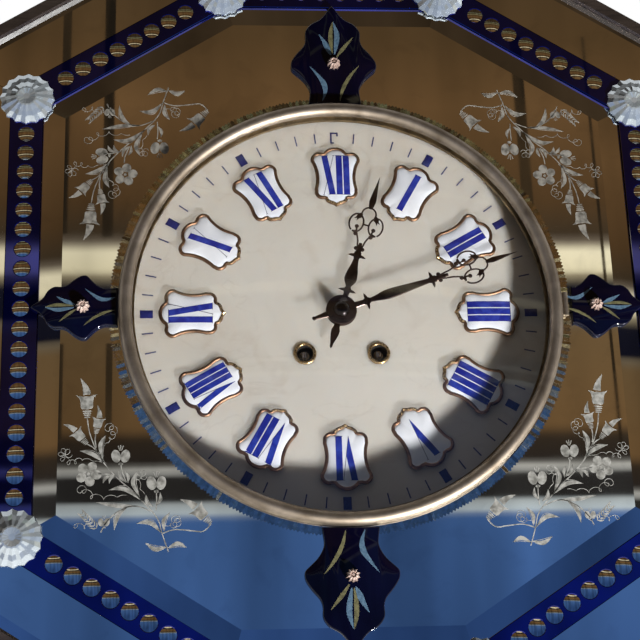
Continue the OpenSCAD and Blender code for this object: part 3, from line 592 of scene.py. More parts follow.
@dataclass(frozen=True)
class Stone(Finish):
    """A translucent stone with clouds, faint veins and a matt polish."""

    body: Colour
    cloud: Colour
    vein: Colour
    stain: Colour

    def lay(self, recipe: Recipe) -> None:
        """Lays clouds, veins and the polish."""
        clouds = recipe.ramp(recipe.noise(9.0, 6.0, warp=0.8), [(0.3, self.cloud), (0.62, self.body)])
        thread = recipe.noise(14.0, 8.0, recipe.mapped((1.0, 1.0, 1.9)), warp=1.6)
        veins = recipe.ramp(thread, [(0.485, self.body), (0.5, self.vein), (0.515, self.body)])
        clean = recipe.mixed(recipe.span(recipe.noise(6.0, 2.0), 0.0, 0.45), clouds, veins)
        specks = recipe.noise(38.0, 5.0, warp=0.9)
        spots = recipe.ramp(specks, [(0.58, (0.0, 0.0, 0.0)), (0.76, (0.5, 0.5, 0.5))])
        tea = recipe.ramp(recipe.noise(120.0), [(0.35, self.stain), (0.65, self.vein)])
        recipe.feed("Base Color", recipe.mixed(spots, clean, tea))
        recipe.feed("Roughness", recipe.span(recipe.noise(160.0, 4.0), 0.4, 0.55))
        recipe.bump(recipe.noise(420.0, 5.0), 0.12, 0.0002)
        recipe.fix(Subsurface_Weight=1.0, Subsurface_Scale=0.014, Subsurface_Radius=(1.0, 0.9, 0.8))


@dataclass(frozen=True)
class Enamel(Finish):
    """A fired enamel, glossy with a slight ripple and uneven whiteness."""

    body: Colour
    shade: Colour
    rough: tuple[float, float] = (0.08, 0.16)
    ripple: float = 0.15

    def lay(self, recipe: Recipe) -> None:
        """Lays the tone, the gloss and the ripple."""
        tone = recipe.ramp(recipe.noise(70.0, 4.0), [(0.35, self.shade), (0.6, self.body)])
        recipe.feed("Base Color", tone)
        recipe.feed("Roughness", recipe.span(recipe.noise(240.0, 3.0), *self.rough))
        recipe.bump(recipe.noise(180.0, 3.0), self.ripple, 0.0003)
        recipe.fix(Coat_Weight=0.5, Coat_Roughness=0.05)


@dataclass(frozen=True)
class Paint(Finish):
    """A fired or brushed paint with streaks of thinner colour."""

    body: Colour
    thin: Colour
    rough: tuple[float, float] = (0.25, 0.4)
    streak: float = 130.0

    def lay(self, recipe: Recipe) -> None:
        """Lays the streaks, the gloss and the brush marks."""
        streaks = recipe.noise(self.streak, 5.0, warp=0.6)
        recipe.feed("Base Color", recipe.ramp(streaks, [(0.32, self.thin), (0.58, self.body)]))
        recipe.feed("Roughness", recipe.span(recipe.noise(300.0, 3.0), *self.rough))
        recipe.bump(streaks, 0.2, 0.0002)


@dataclass(frozen=True)
class Glass(Finish):
    """A coloured glass, backed so that it reads as deep and glossy."""

    body: Colour
    deep: Colour
    silver: float
    rough: tuple[float, float] = (0.015, 0.04)
    gloss: float = 1.0
    specular: float = 0.5

    def lay(self, recipe: Recipe) -> None:
        """Lays the depth of colour, the polish and a faint waviness."""
        depth = recipe.ramp(recipe.noise(26.0, 4.0), [(0.3, self.deep), (0.66, self.body)])
        recipe.feed("Base Color", depth)
        recipe.feed("Roughness", recipe.span(recipe.noise(90.0, 4.0), *self.rough))
        recipe.bump(recipe.noise(38.0, 2.0), 0.05, 0.0004)
        recipe.fix(Metallic=self.silver, Specular_IOR_Level=self.specular)
        recipe.fix(Coat_Weight=self.gloss, Coat_Roughness=0.02, Coat_IOR=1.52)


@dataclass(frozen=True)
class ClearGlass(Finish):
    """A clear pane that lets light and shadow through, with a breath of haze."""

    tint: Colour
    cover: float

    def lay(self, recipe: Recipe) -> None:
        """Lays the haze and the polish."""
        haze = recipe.ramp(recipe.noise(20.0), [(0.3, self.tint), (0.7, (1.0, 1.0, 1.0))])
        recipe.feed("Base Color", haze)
        recipe.feed("Roughness", recipe.span(recipe.noise(60.0), 0.0, 0.02))
        recipe.bump(recipe.noise(18.0, 1.0), 0.02, 0.0003)
        recipe.fix(Alpha=self.cover, Metallic=1.0)


@dataclass(frozen=True)
class Mirror(Finish):
    """A silvered plate glass with a little haze and age in its silver."""

    silver: Colour
    aged: Colour
    ripple: float = 0.03

    def lay(self, recipe: Recipe) -> None:
        """Lays the silver, its age, the polish and the plate's waviness."""
        fine = recipe.noise(45.0, 8.0, warp=0.5)
        recipe.feed("Base Color", recipe.ramp(fine, [(0.3, self.aged), (0.46, self.silver)]))
        recipe.feed("Roughness", recipe.span(recipe.noise(30.0, 5.0), 0.008, 0.03))
        recipe.bump(recipe.noise(7.0, 1.0), self.ripple, 0.0006)
        recipe.fix(Metallic=1.0, Coat_Weight=0.4, Coat_Roughness=0.01)


@dataclass(frozen=True)
class Frost(Finish):
    """A cut and frosted glass surface with a fine crystalline grain."""

    body: Colour
    dull: Colour

    def lay(self, recipe: Recipe) -> None:
        """Lays the grain, the tone and the roughness."""
        grain = recipe.noise(2400.0, 3.0)
        tone = recipe.ramp(recipe.noise(240.0, 5.0), [(0.36, self.dull), (0.6, self.body)])
        recipe.feed("Base Color", tone)
        recipe.feed("Roughness", recipe.span(grain, 0.45, 0.8))
        recipe.bump(grain, 0.5, 0.0001)
        recipe.fix(Sheen_Weight=0.15, Sheen_Roughness=0.5)


@dataclass(frozen=True)
class Timber(Finish):
    """A stained wood with long grain, pores and a waxed sheen."""

    early: Colour
    late: Colour
    stretch: tuple[float, float, float]
    rough: tuple[float, float]
    wax: float

    def lay(self, recipe: Recipe) -> None:
        """Lays the grain, the pores and the wax."""
        along = recipe.mapped(self.stretch)
        rings = recipe.noise(60.0, 6.0, along, 1.2)
        pores = recipe.noise(420.0, 5.0, along)
        body = recipe.ramp(rings, [(0.34, self.late), (0.62, self.early)])
        lines = recipe.ramp(pores, [(0.38, self.late), (0.5, self.early)])
        recipe.feed("Base Color", recipe.mixed(recipe.span(pores, 0.65, 0.2), body, lines))
        recipe.feed("Roughness", recipe.span(rings, *self.rough))
        recipe.bump(pores, 0.3, 0.0003)
        recipe.fix(Coat_Weight=self.wax, Coat_Roughness=0.3)


class Palette:
    """Every finish on the clock, by the piece that wears it."""

    ALABASTER = Stone(
        "alabaster",
        "alabaster",
        (0.61, 0.575, 0.515),
        (0.54, 0.5, 0.44),
        (0.46, 0.41, 0.35),
        (0.44, 0.36, 0.26),
    )
    ENAMEL = Enamel("white_enamel", "enamel", (0.73, 0.74, 0.77), (0.66, 0.68, 0.73))
    NUMERAL_BLUE = Paint(
        "numeral_blue", "enamel", (0.012, 0.018, 0.215), (0.028, 0.05, 0.33), (0.12, 0.22)
    )
    HAIRLINE = Paint(
        "numeral_hairline", "enamel", (0.012, 0.014, 0.05), (0.03, 0.035, 0.1), (0.15, 0.25)
    )
    TRACK = Paint(
        "track_blue", "alabaster", (0.007, 0.009, 0.085), (0.02, 0.025, 0.14), (0.35, 0.5), 900.0
    )
    TICK = Paint("tick_blue", "alabaster", (0.028, 0.036, 0.13), (0.1, 0.11, 0.2), (0.4, 0.55), 700.0)
    COPPER_RIM = Metal(
        "copper_rim", "gilt_frame", (0.19, 0.11, 0.066), (0.05, 0.03, 0.02), (0.44, 0.6), cloud=180.0
    )
    NICKEL = Metal(
        "worn_nickel",
        "nickel",
        (0.335, 0.28, 0.22),
        (0.15, 0.115, 0.08),
        (0.46, 0.57),
        cloud=48.0,
        dent=0.04,
    )
    # The sight ring's gilt, made dark: partly the lip's dull gilt and partly painted shade of the gap
    # between the dial and the bezel.
    GILT_LIP_PAINTED_SHADE = Metal("gilt_lip_painted_shade", "brass", (0.3, 0.21, 0.1), (0.06, 0.04, 0.02), (0.35, 0.5), cloud=110.0)
    BRASS = Metal("clock_brass", "brass", (0.72, 0.52, 0.22), (0.46, 0.3, 0.11), (0.16, 0.32))
    EYELET_BRASS = Metal(
        "eyelet_brass", "brass", (0.52, 0.37, 0.19), (0.2, 0.12, 0.05), (0.2, 0.36), cloud=240.0
    )
    # Near-black paint that lines the winding holes: painted shade for the inside of the holes.
    BORE_PAINTED_SHADE = Paint(
        "bore_painted_shade", "brass", (0.004, 0.0035, 0.003), (0.012, 0.01, 0.008), (0.6, 0.8), 400.0
    )
    STEEL = Metal(
        "bright_steel", "steel", (0.5, 0.5, 0.52), (0.3, 0.29, 0.29), (0.18, 0.34), Grain.DRAWN_UP
    )
    BLACK_STEEL = Metal(
        "black_steel",
        "steel",
        (0.1, 0.068, 0.056),
        (0.024, 0.018, 0.017),
        (0.28, 0.42),
        cloud=90.0,
        dent=0.08,
    )
    BLACK_NUT = Metal(
        "black_nut", "steel", (0.034, 0.029, 0.029), (0.012, 0.01, 0.011), (0.16, 0.28), cloud=90.0
    )
    SPRING = Metal(
        "spring_steel", "spring_steel", (0.34, 0.36, 0.42), (0.18, 0.19, 0.24), (0.15, 0.3), Grain.DRAWN_UP
    )
    BELL = Metal(
        "bell_metal", "bell_metal", (0.62, 0.5, 0.34), (0.36, 0.28, 0.18), (0.12, 0.26), Grain.DRAWN_ACROSS
    )
    MIRROR = Mirror("plate_mirror", "mirror", (0.93, 0.94, 0.93), (0.84, 0.85, 0.85))
    LENS = Mirror("lens_mirror", "mirror", (0.9, 0.88, 0.82), (0.78, 0.74, 0.66), 0.0)
    ENGRAVED = Frost("engraved_glass", "mirror", (0.33, 0.322, 0.292), (0.12, 0.116, 0.1))
    # The same engraved frost made darker: painted shade for the upper sprays, which the light reaches less.
    ENGRAVED_PAINTED_SHADE = Frost("engraved_painted_shade_glass", "mirror", (0.245, 0.228, 0.195), (0.075, 0.067, 0.053))
    CUT_EDGE = Metal(
        "cut_edge", "mirror", (0.86, 0.82, 0.7), (0.55, 0.5, 0.36), (0.04, 0.16), cloud=300.0, dent=0.1
    )
    COBALT = Glass("cobalt_strip", "cobalt_glass", (0.012, 0.02, 0.34), (0.004, 0.007, 0.16), 0.97)
    LEAF_GLASS = Glass(
        "leaf_glass",
        "cobalt_glass",
        (0.0016, 0.0013, 0.01),
        (0.001, 0.001, 0.004),
        0.0,
        gloss=0.1,
        specular=0.22,
    )
    CUT_GLASS = Glass("cut_glass", "cut_glass", (0.62, 0.68, 0.72), (0.4, 0.46, 0.5), 0.6)
    ROSE_GLASS = Glass(
        "rose_glass", "rose_glass", (0.66, 0.5, 0.43), (0.32, 0.21, 0.165), 0.4, (0.05, 0.12)
    )
    PANE = ClearGlass("clear_pane", "clear_glass", (0.9, 0.93, 0.93), 0.03)
    LEAF_BLUE = Paint(
        "leaf_pale_blue", "cobalt_glass", (0.085, 0.145, 0.205), (0.04, 0.08, 0.13), (0.25, 0.4), 500.0
    )
    LEAF_OLIVE = Paint(
        "leaf_olive", "cobalt_glass", (0.135, 0.125, 0.06), (0.07, 0.066, 0.032), (0.25, 0.4), 500.0
    )
    EBONISED = Timber(
        "ebonised_wood",
        "wood",
        (0.035, 0.025, 0.02),
        (0.012, 0.009, 0.008),
        (0.12, 1.0, 1.0),
        (0.25, 0.42),
        0.35,
    )
    BOARD = Timber(
        "board_wood", "wood", (0.2, 0.115, 0.055), (0.1, 0.052, 0.024), (1.0, 1.0, 0.1), (0.45, 0.65), 0.08
    )
    CASE = Timber(
        "case_wood", "wood", (0.27, 0.165, 0.085), (0.14, 0.078, 0.036), (1.0, 1.0, 0.09), (0.4, 0.6), 0.15
    )
    DOOR = Timber(
        "door_wood", "wood", (0.33, 0.21, 0.11), (0.18, 0.105, 0.05), (1.0, 1.0, 0.08), (0.42, 0.62), 0.1
    )


class Placing:
    """Where things are: the dial's own millimetres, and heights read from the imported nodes."""

    HUB = Vector((0.0, 0.0, -0.202))

    @staticmethod
    def upright(local: Matrix = Matrix.Identity(4)) -> Matrix:
        """Stands the dial's plane upright, from millimetres to the clock's metres.

        Args:
            local: A place on the dial's plane.

        Returns:
            The matrix into the clock's frame.
        """
        stand = Matrix(((MM, 0, 0, 0), (0, 0, -MM, 0), (0, MM, 0, Placing.HUB.z), (0, 0, 0, 1)))
        return stand @ local

    @staticmethod
    def front(node: str) -> float:
        """Gives the height of a node's front above the wall, in millimetres."""
        return -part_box(node)[0][1] / MM

    @staticmethod
    def back(node: str) -> float:
        """Gives the height of a node's back above the wall, in millimetres."""
        return -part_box(node)[1][1] / MM

    @staticmethod
    def around(radius: float, clockwise: float, height: float) -> Matrix:
        """Gives a place on a circle, turned so that its y axis points outward.

        Args:
            radius: Radius of the circle in millimetres.
            clockwise: Angle from twelve in degrees.
            height: Height above the wall.

        Returns:
            The place on the dial's plane.
        """
        turn = Matrix.Rotation(math.radians(-clockwise), 4, "Z")
        return turn @ Matrix.Translation((0.0, radius, height))

    @staticmethod
    def at(x: float, y: float, z: float, turn: float = 0.0, scale: float = 1.0) -> Matrix:
        """Gives a place, a turn in degrees and a size on the dial's plane."""
        spin = Matrix.Rotation(math.radians(turn), 4, "Z")
        return Matrix.Translation((x, y, z)) @ spin @ Matrix.Scale(scale, 4)


def dress(obj: Piece, finish: Finish) -> None:
    """Gives an object one finish all over.

    Args:
        obj: The piece or node.
        finish: The finish it wears.
    """
    obj.data.materials.clear()
    obj.data.materials.append(finish.material())


def settle(
    obj: Piece, finish: Finish, body: str, nodes: Sequence[str] = (), place: Matrix | None = None
) -> Piece:
    """Dresses a new piece, stands it in the clock's frame and ties it to its body.

    Args:
        obj: The piece, in the dial's millimetres.
        finish: The finish it wears.
        body: The body it rides on.
        nodes: CAD nodes that it replaces.
        place: Its place on the dial's plane, if it isn't there yet.

    Returns:
        The same piece.
    """
    obj.data.transform(Placing.upright(place or Matrix.Identity(4)))
    dress(obj, finish)
    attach(obj, body)
    if nodes:
        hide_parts(*nodes)
    LOG.info("piece %s: %d faces", obj.name, len(obj.data.polygons))
    return obj


@dataclass
class MinuteTrack:
    """The painted track: hour squares, minute ticks and the mark at twelve."""

    radius: float = 131.0
    tick: Point = (0.95, 7.6)
    square: Point = (5.6, 8.8)
    film: float = 0.07

    def outline(self, size: Point, chip: float) -> list[Point]:
        """Gives a rectangle whose corners are a little worn.

        Args:
            size: Width and length.
            chip: How far the corners are worn.

        Returns:
            The outline, counterclockwise.
        """
        w, h = size[0] / 2, size[1] / 2
        return [
            (w - chip * 0.4, -h), (w, -h + chip), (w - chip * 0.2, 0.0), (w, h - chip * 0.3),
            (w - chip, h), (0.0, h - chip * 0.2), (-w + chip * 0.5, h), (-w, h - chip * 0.8),
            (-w + chip * 0.25, 0.0), (-w, -h + chip * 0.5), (-w + chip * 0.9, -h), (0.0, -h + chip * 0.25),
        ]  # fmt: skip

    def mark(self, name: str, size: Point, chip: float) -> Piece:
        """Lays one painted mark as a thin raised film.

        Args:
            name: Name of the piece.
            size: Width and length.
            chip: How far its corners are worn.

        Returns:
            The mark at the middle of the dial's plane.
        """
        rings = ((1.0, -0.02), (1.0, self.film * 0.5), (0.97, self.film))
        return Bench.raised(name, self.outline(size, chip), rings)

    def build(self, dial: float) -> None:
        """Lays the whole track on the dial's face.

        Args:
            dial: Height of the dial's face.
        """
        hours = [Placing.around(self.radius, 30.0 * h, dial) for h in range(1, 12)]
        minutes = [Placing.around(self.radius, 6.0 * m, dial) for m in range(60) if m % 5]
        square = self.mark("hour_square", self.square, 0.55)
        settle(Bench.spread(square, "hour_squares", hours), Palette.TRACK, "case")
        tick = self.mark("minute_tick", self.tick, 0.16)
        settle(Bench.spread(tick, "minute_ticks", minutes), Palette.TICK, "case")
        self.twelve(dial)

    def twelve(self, dial: float) -> None:
        """Lays the worn square at twelve, of which the left side, the top and a corner are left.

        Args:
            dial: Height of the dial's face.
        """
        spots = ((-2.3, 0.0, 1.3, 8.6), (0.3, 3.7, 4.6, 1.2), (2.1, 2.5, 1.2, 2.4), (-1.0, -3.8, 1.6, 1.0))
        bars = []
        for x, y, w, h in spots:
            bar = self.mark("worn_bar", (w, h), 0.2)
            bar.data.transform(Matrix.Translation((x, y, 0.0)))
            bars.append(bar)
        place = Placing.around(self.radius, 0.0, dial)
        settle(Bench.joined("twelve_square", bars), Palette.TRACK, "case", place=place)


class Stroke(Enum):
    """Strokes of the Roman numerals: foot and head as shares of a glyph, boldness, pointed foot."""

    STEM = (0.5, 0.5, True, False)
    FALLING = (0.74, 0.22, True, False)
    RISING = (0.14, 0.88, False, False)
    V_BOLD = (0.58, 0.22, True, True)
    V_FINE = (0.58, 1.0, False, True)


@dataclass
class HourPlaques:
    """The twelve enamelled hours: copper rims, domed plaques and blue Roman numerals."""

    radius: float = 101.0
    rim: float = 1.3
    rim_share: float = 0.945
    gilt: float = 1.0
    gilt_at: float = 2.35
    plaque_share: float = 0.92
    cap: float = 15.2
    foot: float = -14.4
    widest: float = 20.6
    bold: float = 4.3
    fine: float = 0.34
    overhang: float = 0.55
    taper: float = 0.46
    clear: float = 9.0
    coat: float = 0.07
    proud: float = 0.05
    cells: tuple[int, int] = (3, 14)
    advance: dict[str, float] = field(default_factory=lambda: {"I": 5.05, "V": 9.4, "X": 9.8})
    hours: tuple[str, ...] = ("I", "II", "III", "IIII", "V", "VI", "VII", "VIII", "IX", "X", "XI", "XII")

    def outline(self) -> list[Point]:
        """Gives the cartouche's outline: a lobe at each end, round shoulders and hollow sides."""
        half = arc((0.0, 12.5), 9.35, 90.0, 33.0, 8)
        half += arc((12.3, 12.9), 4.7, 112.0, -12.0, 9)
        half += arc((43.3, -2.0), 30.0, 154.0, 197.0, 9)
        half += arc((10.3, -13.0), 4.2, 14.0, -108.0, 8)
        half += self.tip()
        return mirrored_outline(half)

    def tip(self) -> list[Point]:
        """Gives the right half of the pointed lobe at the inner end, down to its point."""
        knots = ((7.5, -17.5), (6.6, -19.5), (4.5, -20.9), (2.0, -21.7), (0.0, -23.2))
        return spline(knots, 2)

    def build(self, dial: float) -> None:
        """Models one cartouche and sets twelve round the dial, each with its numeral.

        Args:
            dial: Height of the dial's face.
        """
        places = [Placing.around(self.radius, 30.0 * (i + 1), dial) for i in range(12)]
        outline = self.outline()
        rings = [(self.plaque_share * k, z) for k, z in self.crown()]
        plaque = Bench.raised("enamel_plaque", outline, rings, 60.0)
        blues, lines = [], []
        for text, place in zip(self.hours, places):
            for bold, pile in ((True, blues), (False, lines)):
                numeral = self.numeral(text, bold)
                self.lay(numeral, plaque)
                numeral.data.transform(place)
                pile.append(numeral)
        settle(Bench.spread(plaque, "enamel_domes", places), Palette.ENAMEL, "case", ["enamel_plaques"])
        settle(Bench.joined("numeral_strokes", blues), Palette.NUMERAL_BLUE, "case")
        settle(Bench.joined("numeral_hairlines", lines), Palette.HAIRLINE, "case")
        self.rims(outline, places)

    def crown(self) -> list[tuple[float, float]]:
        """Gives the plaque's section, from its foot to the top of its dome."""
        wall = [(1.0, 0.02), (1.0, 1.7), (0.97, 2.2), (0.9, 2.55)]
        return wall + [(0.75, 2.86), (0.55, 3.08), (0.32, 3.22), (0.1, 3.28)]

    def rims(self, outline: Sequence[Point], places: Sequence[Matrix]) -> None:
        """Bends the copper rims round the plaques, with bright gilding left on their inner lobes.

        Args:
            outline: The cartouche's outline.
            places: Where the twelve go.
        """
        k = self.rim_share
        path = [(x * k, y * k, self.rim, self.rim) for x, y in outline]
        rim = Bench.drawn("copper_rim", [path], closed=True, sides=3)
        rim.data.transform(Matrix.Diagonal((1.0, 1.0, 1.12, 1.0)))
        bent = Bench.spread(rim, "cartouche_rims", places)
        settle(bent, Palette.COPPER_RIM, "case", ["cartouche_frames"])
        right = self.tip()
        swell = (0.3, 0.75, 0.9, 0.95, 0.6, 0.9, 1.0, 0.65, 1.15)
        half = [(x * k, y * k, self.gilt_at, self.gilt * r) for (x, y), r in zip(right, swell)]
        wire = [(-x, y, z, r) for x, y, z, r in half] + half[-2::-1]
        gilt = Bench.drawn("gilt_lobe", [wire], sides=2)
        settle(Bench.spread(gilt, "cartouche_gilding", places), Palette.EYELET_BRASS, "case")

    def numeral(self, text: str, bold: bool) -> Piece:
        """Draws one numeral's bold strokes or its hairlines, flat above the plaque.

        Args:
            text: The Roman numeral.
            bold: Whether the bold strokes are wanted, or else the hairlines.

        Returns:
            The strokes as one mesh.
        """
        total = sum(self.advance[c] for c in text)
        squeeze = min(1.0, self.widest / total)
        left = -total * squeeze / 2
        strips = []
        for glyph in text:
            width = self.advance[glyph] * squeeze
            for stroke in self.strokes(glyph):
                foot, head, heavy, pointed = stroke.value
                low, high = (left + foot * width, self.foot), (left + head * width, self.cap)
                thick = self.bold * squeeze if heavy else self.fine
                if heavy is bold:
                    strips.append(self.strip(low, high, thick, heavy and pointed))
                if not bold:
                    ends = (high,) if pointed else (low, high)
                    strips += [self.serif(x, y, thick / 2 + self.overhang) for x, y in ends]
            left += width
        return Bench.joined(f"numeral_{text}", strips)

    def strokes(self, glyph: str) -> tuple[Stroke, ...]:
        """Names the strokes of a glyph."""
        table = {
            "I": (Stroke.STEM,),
            "V": (Stroke.V_BOLD, Stroke.V_FINE),
            "X": (Stroke.FALLING, Stroke.RISING),
        }
        return table[glyph]

    def strip(self, foot: Point, head: Point, width: float, pointed: bool = False) -> Piece:
        """Lays a stroke with level ends as a strip of small faces.

        Args:
            foot: Middle of its lower end.
            head: Middle of its upper end.
            width: Its level width.
            pointed: Whether it narrows to a point at its foot, along its left edge.

        Returns:
            The strip, flat above the plaque.
        """
        Bench.clear()
        columns, rows = self.cells
        bpy.ops.mesh.primitive_grid_add(x_subdivisions=columns, y_subdivisions=rows, size=1.0)
        obj = bpy.context.object
        for vertex in obj.data.vertices:
            across, up = vertex.co.x, vertex.co.y + 0.5
            share = min(1.0, 0.03 + up / self.taper) if pointed else 1.0
            lean = width / 2 * (share - up) if pointed else 0.0
            x = foot[0] + (head[0] - foot[0]) * up + lean + across * width * share
            vertex.co = (x, foot[1] + (head[1] - foot[1]) * up, self.clear)
        return obj

    def serif(self, x: float, y: float, half: float) -> Piece:
        """Lays a level hairline across the end of a stroke.

        Args:
            x: The middle of the stroke's end.
            y: Its height.
            half: Half the hairline's length.

        Returns:
            The hairline, flat above the plaque.
        """
        line = self.strip((0.0, -0.5), (0.0, 0.5), 1.0)
        for vertex in line.data.vertices:
            along, up = vertex.co.y, vertex.co.x
            vertex.co = (x + 2.0 * half * along, y + up * self.fine * 0.8, self.clear)
        line.data.flip_normals()
        return line

    def lay(self, numeral: Piece, plaque: Piece) -> None:
        """Lays a numeral down on the plaque's dome as a thin coat of enamel.

        Args:
            numeral: The flat strokes.
            plaque: The plaque they lie on.
        """
        Bench.modified(
            numeral,
            "SHRINKWRAP",
            target=plaque,
            wrap_method="PROJECT",
            use_project_z=True,
            use_negative_direction=True,
            use_positive_direction=False,
            offset=self.proud,
        )
        Bench.modified(numeral, "SOLIDIFY", thickness=self.coat, offset=0.0)


@dataclass
class Eyelets:
    """The two brass grommets round the winding holes, with black linings in the bores that paint the shade
    inside the holes.
    """

    spots: tuple[Point, Point] = ((-25.0, -28.5), (25.0, -28.5))
    outer: float = 7.7
    bore: float = 5.6
    clear: float = 3.3

    def build(self, dial: float) -> None:
        """Turns one grommet and its black lining, a painted shade for the deep hole, and sets two of each
        in the dial.

        Args:
            dial: Height of the dial's face.
        """
        r, b = self.outer, self.bore
        sunk = Placing.back("winding_eyelets") - dial
        proud = Placing.front("winding_eyelets") - dial
        profile = [
            (b + 0.9, sunk), (b, sunk), (b, proud * 0.4), (b + 0.16, proud * 0.75), (b + 0.5, proud * 0.95),
            (b + 0.95, proud), (r - 0.55, proud * 0.86), (r - 0.12, proud * 0.5), (r, 0.06), (r - 0.1, 0.0),
            (b + 0.9, 0.0), (b + 0.9, sunk),
        ]  # fmt: skip
        grommet = Bench.turned("grommet", profile, 48)
        places = [Placing.at(x, y, dial) for x, y in self.spots]
        pair = Bench.spread(grommet, "brass_grommets", places)
        settle(pair, Palette.EYELET_BRASS, "case", ["winding_eyelets"])
        # The black lining of the bore and the ring deep inside it are painted shade that darkens the hole.
        wall, lip, foot = b - 0.02, b - 0.3, sunk + 0.6
        shade_liner = [(wall, 0.0), (lip, 0.0), (lip, foot), (self.clear, foot), (self.clear, sunk)]
        lining = Bench.turned("lining", [*shade_liner, (wall, sunk), (wall, 0.0)], 40)
        settle(Bench.spread(lining, "bore_linings", places), Palette.BORE_PAINTED_SHADE, "case")


@dataclass
class Hand:
    """An openwork hand of blackened steel: baluster, thorned collars, scrolls and a spear."""

    name: str
    node: str
    body: str
    turn: float
    length: float
    collars: Point
    belly: float
    scroll_foot: float
    ring_at: float
    spear_foot: float
    tail: float
    blade_half: float
    ring: float = 4.9
    stretch: float = 1.4
    spread: float = 6.9
    hub: float = 10.5
    bore: float = 3.1
    wire: float = 0.62
    curl_from: float = -108.0
    curl_step: float = 14.6
    curl_knots: int = 25

    def build(self) -> None:
        """Models the hand's parts and joins them into one piece at the node's height."""
        low = Placing.back(self.node)
        thick = Placing.front(self.node) - low
        parts = [self.boss(thick), *self.shaft(thick), *self.collar_thorns(thick), *self.scrolls(thick)]
        parts += [self.spear(thick), *self.tailpiece(thick)]
        hand = Bench.joined(self.name, parts)
        place = Matrix.Rotation(math.radians(-self.turn), 4, "Z") @ Matrix.Translation((0.0, 0.0, low))
        settle(hand, Palette.BLACK_STEEL, self.body, [self.node], place)

    def boss(self, thick: float) -> Piece:
        """Turns the round hub with its soft edge and pierced middle.

        Args:
            thick: Thickness of the hand.

        Returns:
            The hub.
        """
        r, b = self.hub, self.bore
        edge = [(r - 0.5, 0.0), (r, 0.35), (r - 0.1, thick * 0.7), (r - 0.9, thick)]
        return Bench.turned("hub", [(b, 0.0), *edge, (b, thick), (b, 0.0)], 48)

    def shaft(self, thick: float) -> list[Piece]:
        """Forges the neck by the hub and the swelling baluster between the collars.

        Args:
            thick: Thickness of the hand.

        Returns:
            The neck, the baluster and the rod above it.
        """
        low, high = self.collars
        run, full = high - low, self.belly / 2
        shares = ((0.0, 1.5), (0.12, 1.9), (0.3, full), (0.5, full * 0.93), (0.75, 2.4), (1.0, 1.6))
        belly = [(low + s * run, w) for s, w in shares]
        neck = [(3.6, 2.3), (low * 0.8, 1.9), (low, 1.6)]
        rod = [(high, 1.7), (high + 4.0, 1.9), ((high + self.scroll_foot) / 2 + 2.0, 1.0)]
        pieces = []
        for line, steps in ((neck, 4), (belly, 6), (rod, 4)):
            path = spline([(0.0, y, thick / 2, w) for y, w in line], steps)
            piece = Bench.drawn("shaft", [path], sides=3)
            self.flatten(piece, thick)
            pieces.append(piece)
        return pieces

    def flatten(self, piece: Piece, thick: float) -> None:
        """Flattens a round forging to the hand's thickness.

        Args:
            piece: The forging.
            thick: Thickness of the hand.
        """
        tall = max(abs(v.co.z - thick / 2) for v in piece.data.vertices)
        middle = Matrix.Translation((0.0, 0.0, thick / 2))
        squash = Matrix.Diagonal((1.0, 1.0, min(1.0, thick / 2 / tall), 1.0))
        piece.data.transform(middle @ squash @ middle.inverted())

    def collar_thorns(self, thick: float) -> list[Piece]:
        """Cuts the collars, each with a pair of thorns.

        Args:
            thick: Thickness of the hand.

        Returns:
            The two collars.
        """
        thorn = [(0.0, 3.0), (1.9, 2.3), (2.4, 1.3), (4.6, 0.6), (6.1, -0.4)]
        thorn += [(4.2, -0.9), (2.3, -1.0), (1.9, -2.2), (0.0, -2.6)]
        pieces = []
        for y in self.collars:
            piece = Bench.cut("collar", [mirrored_outline(thorn)], thick, 0.3)
            piece.data.transform(Matrix.Translation((0.0, y, 0.0)))
            pieces.append(piece)
        return pieces

    def scrolls(self, thick: float) -> list[Piece]:
        """Bends the openwork: stems with knobs, two curled rings with cusps, and the arch above.

        Args:
            thick: Thickness of the hand.

        Returns:
            The openwork's wires, balls and cusps.
        """
        r, y0, cy = self.ring, self.scroll_foot, self.ring_at
        long = r * self.stretch
        fork = self.collars[1] + 5.0
        mid, w = thick / 2, self.wire
        wires, balls = [], []
        for side in (-1.0, 1.0):
            cx = side * self.spread
            stem = [(side * 0.9, fork, mid, w), (side * 2.0, fork + (y0 - fork) * 0.3, mid, w)]
            stem += [(side * r * 0.55, fork + (y0 - fork) * 0.62, mid, w), (side * r * 0.95, y0, mid, w)]
            stem.append((cx + side * r * 0.1, cy - long, mid, w))
            ring = []
            for i in range(self.curl_knots):
                a = math.radians(self.curl_from + self.curl_step * i)
                ring.append((cx - side * r * math.cos(a), cy + long * math.sin(a), mid, w))
            curl_y = cy - 0.4 * long
            bend = (cx - side * 0.28 * r, cy - 0.82 * long, mid, w)
            curl = [ring[0], bend, (cx - side * 0.2 * r, curl_y, mid, w * 1.1)]
            wires += [spline(stem, 5), ring, spline(curl, 4)]
            balls += [(side * 2.2, fork + 0.4, 1.55), (side * 1.2, fork - 3.0, 1.4)]
            balls += [(side * (r * 0.95 + 0.7), y0, 1.6), (cx - side * 0.2 * r, curl_y + 0.2, 1.5)]
        arch_y = self.spear_foot - r
        arch = [
            (r * math.sin(math.radians(a)), arch_y + r * math.cos(math.radians(a)), mid, w)
            for a in range(-112, 113, 14)
        ]
        wires.append(arch)
        pieces = [Bench.drawn("scroll", wires, sides=2)]
        pieces += [self.ball(x, y, size, thick) for x, y, size in balls]
        pieces += [self.cusp(side, thick) for side in (-1.0, 1.0)]
        inner = self.spread - r
        tie = [(-inner, cy, mid, w), (inner, cy, mid, w)]
        return pieces + [Bench.drawn("tie", [tie], sides=2)]

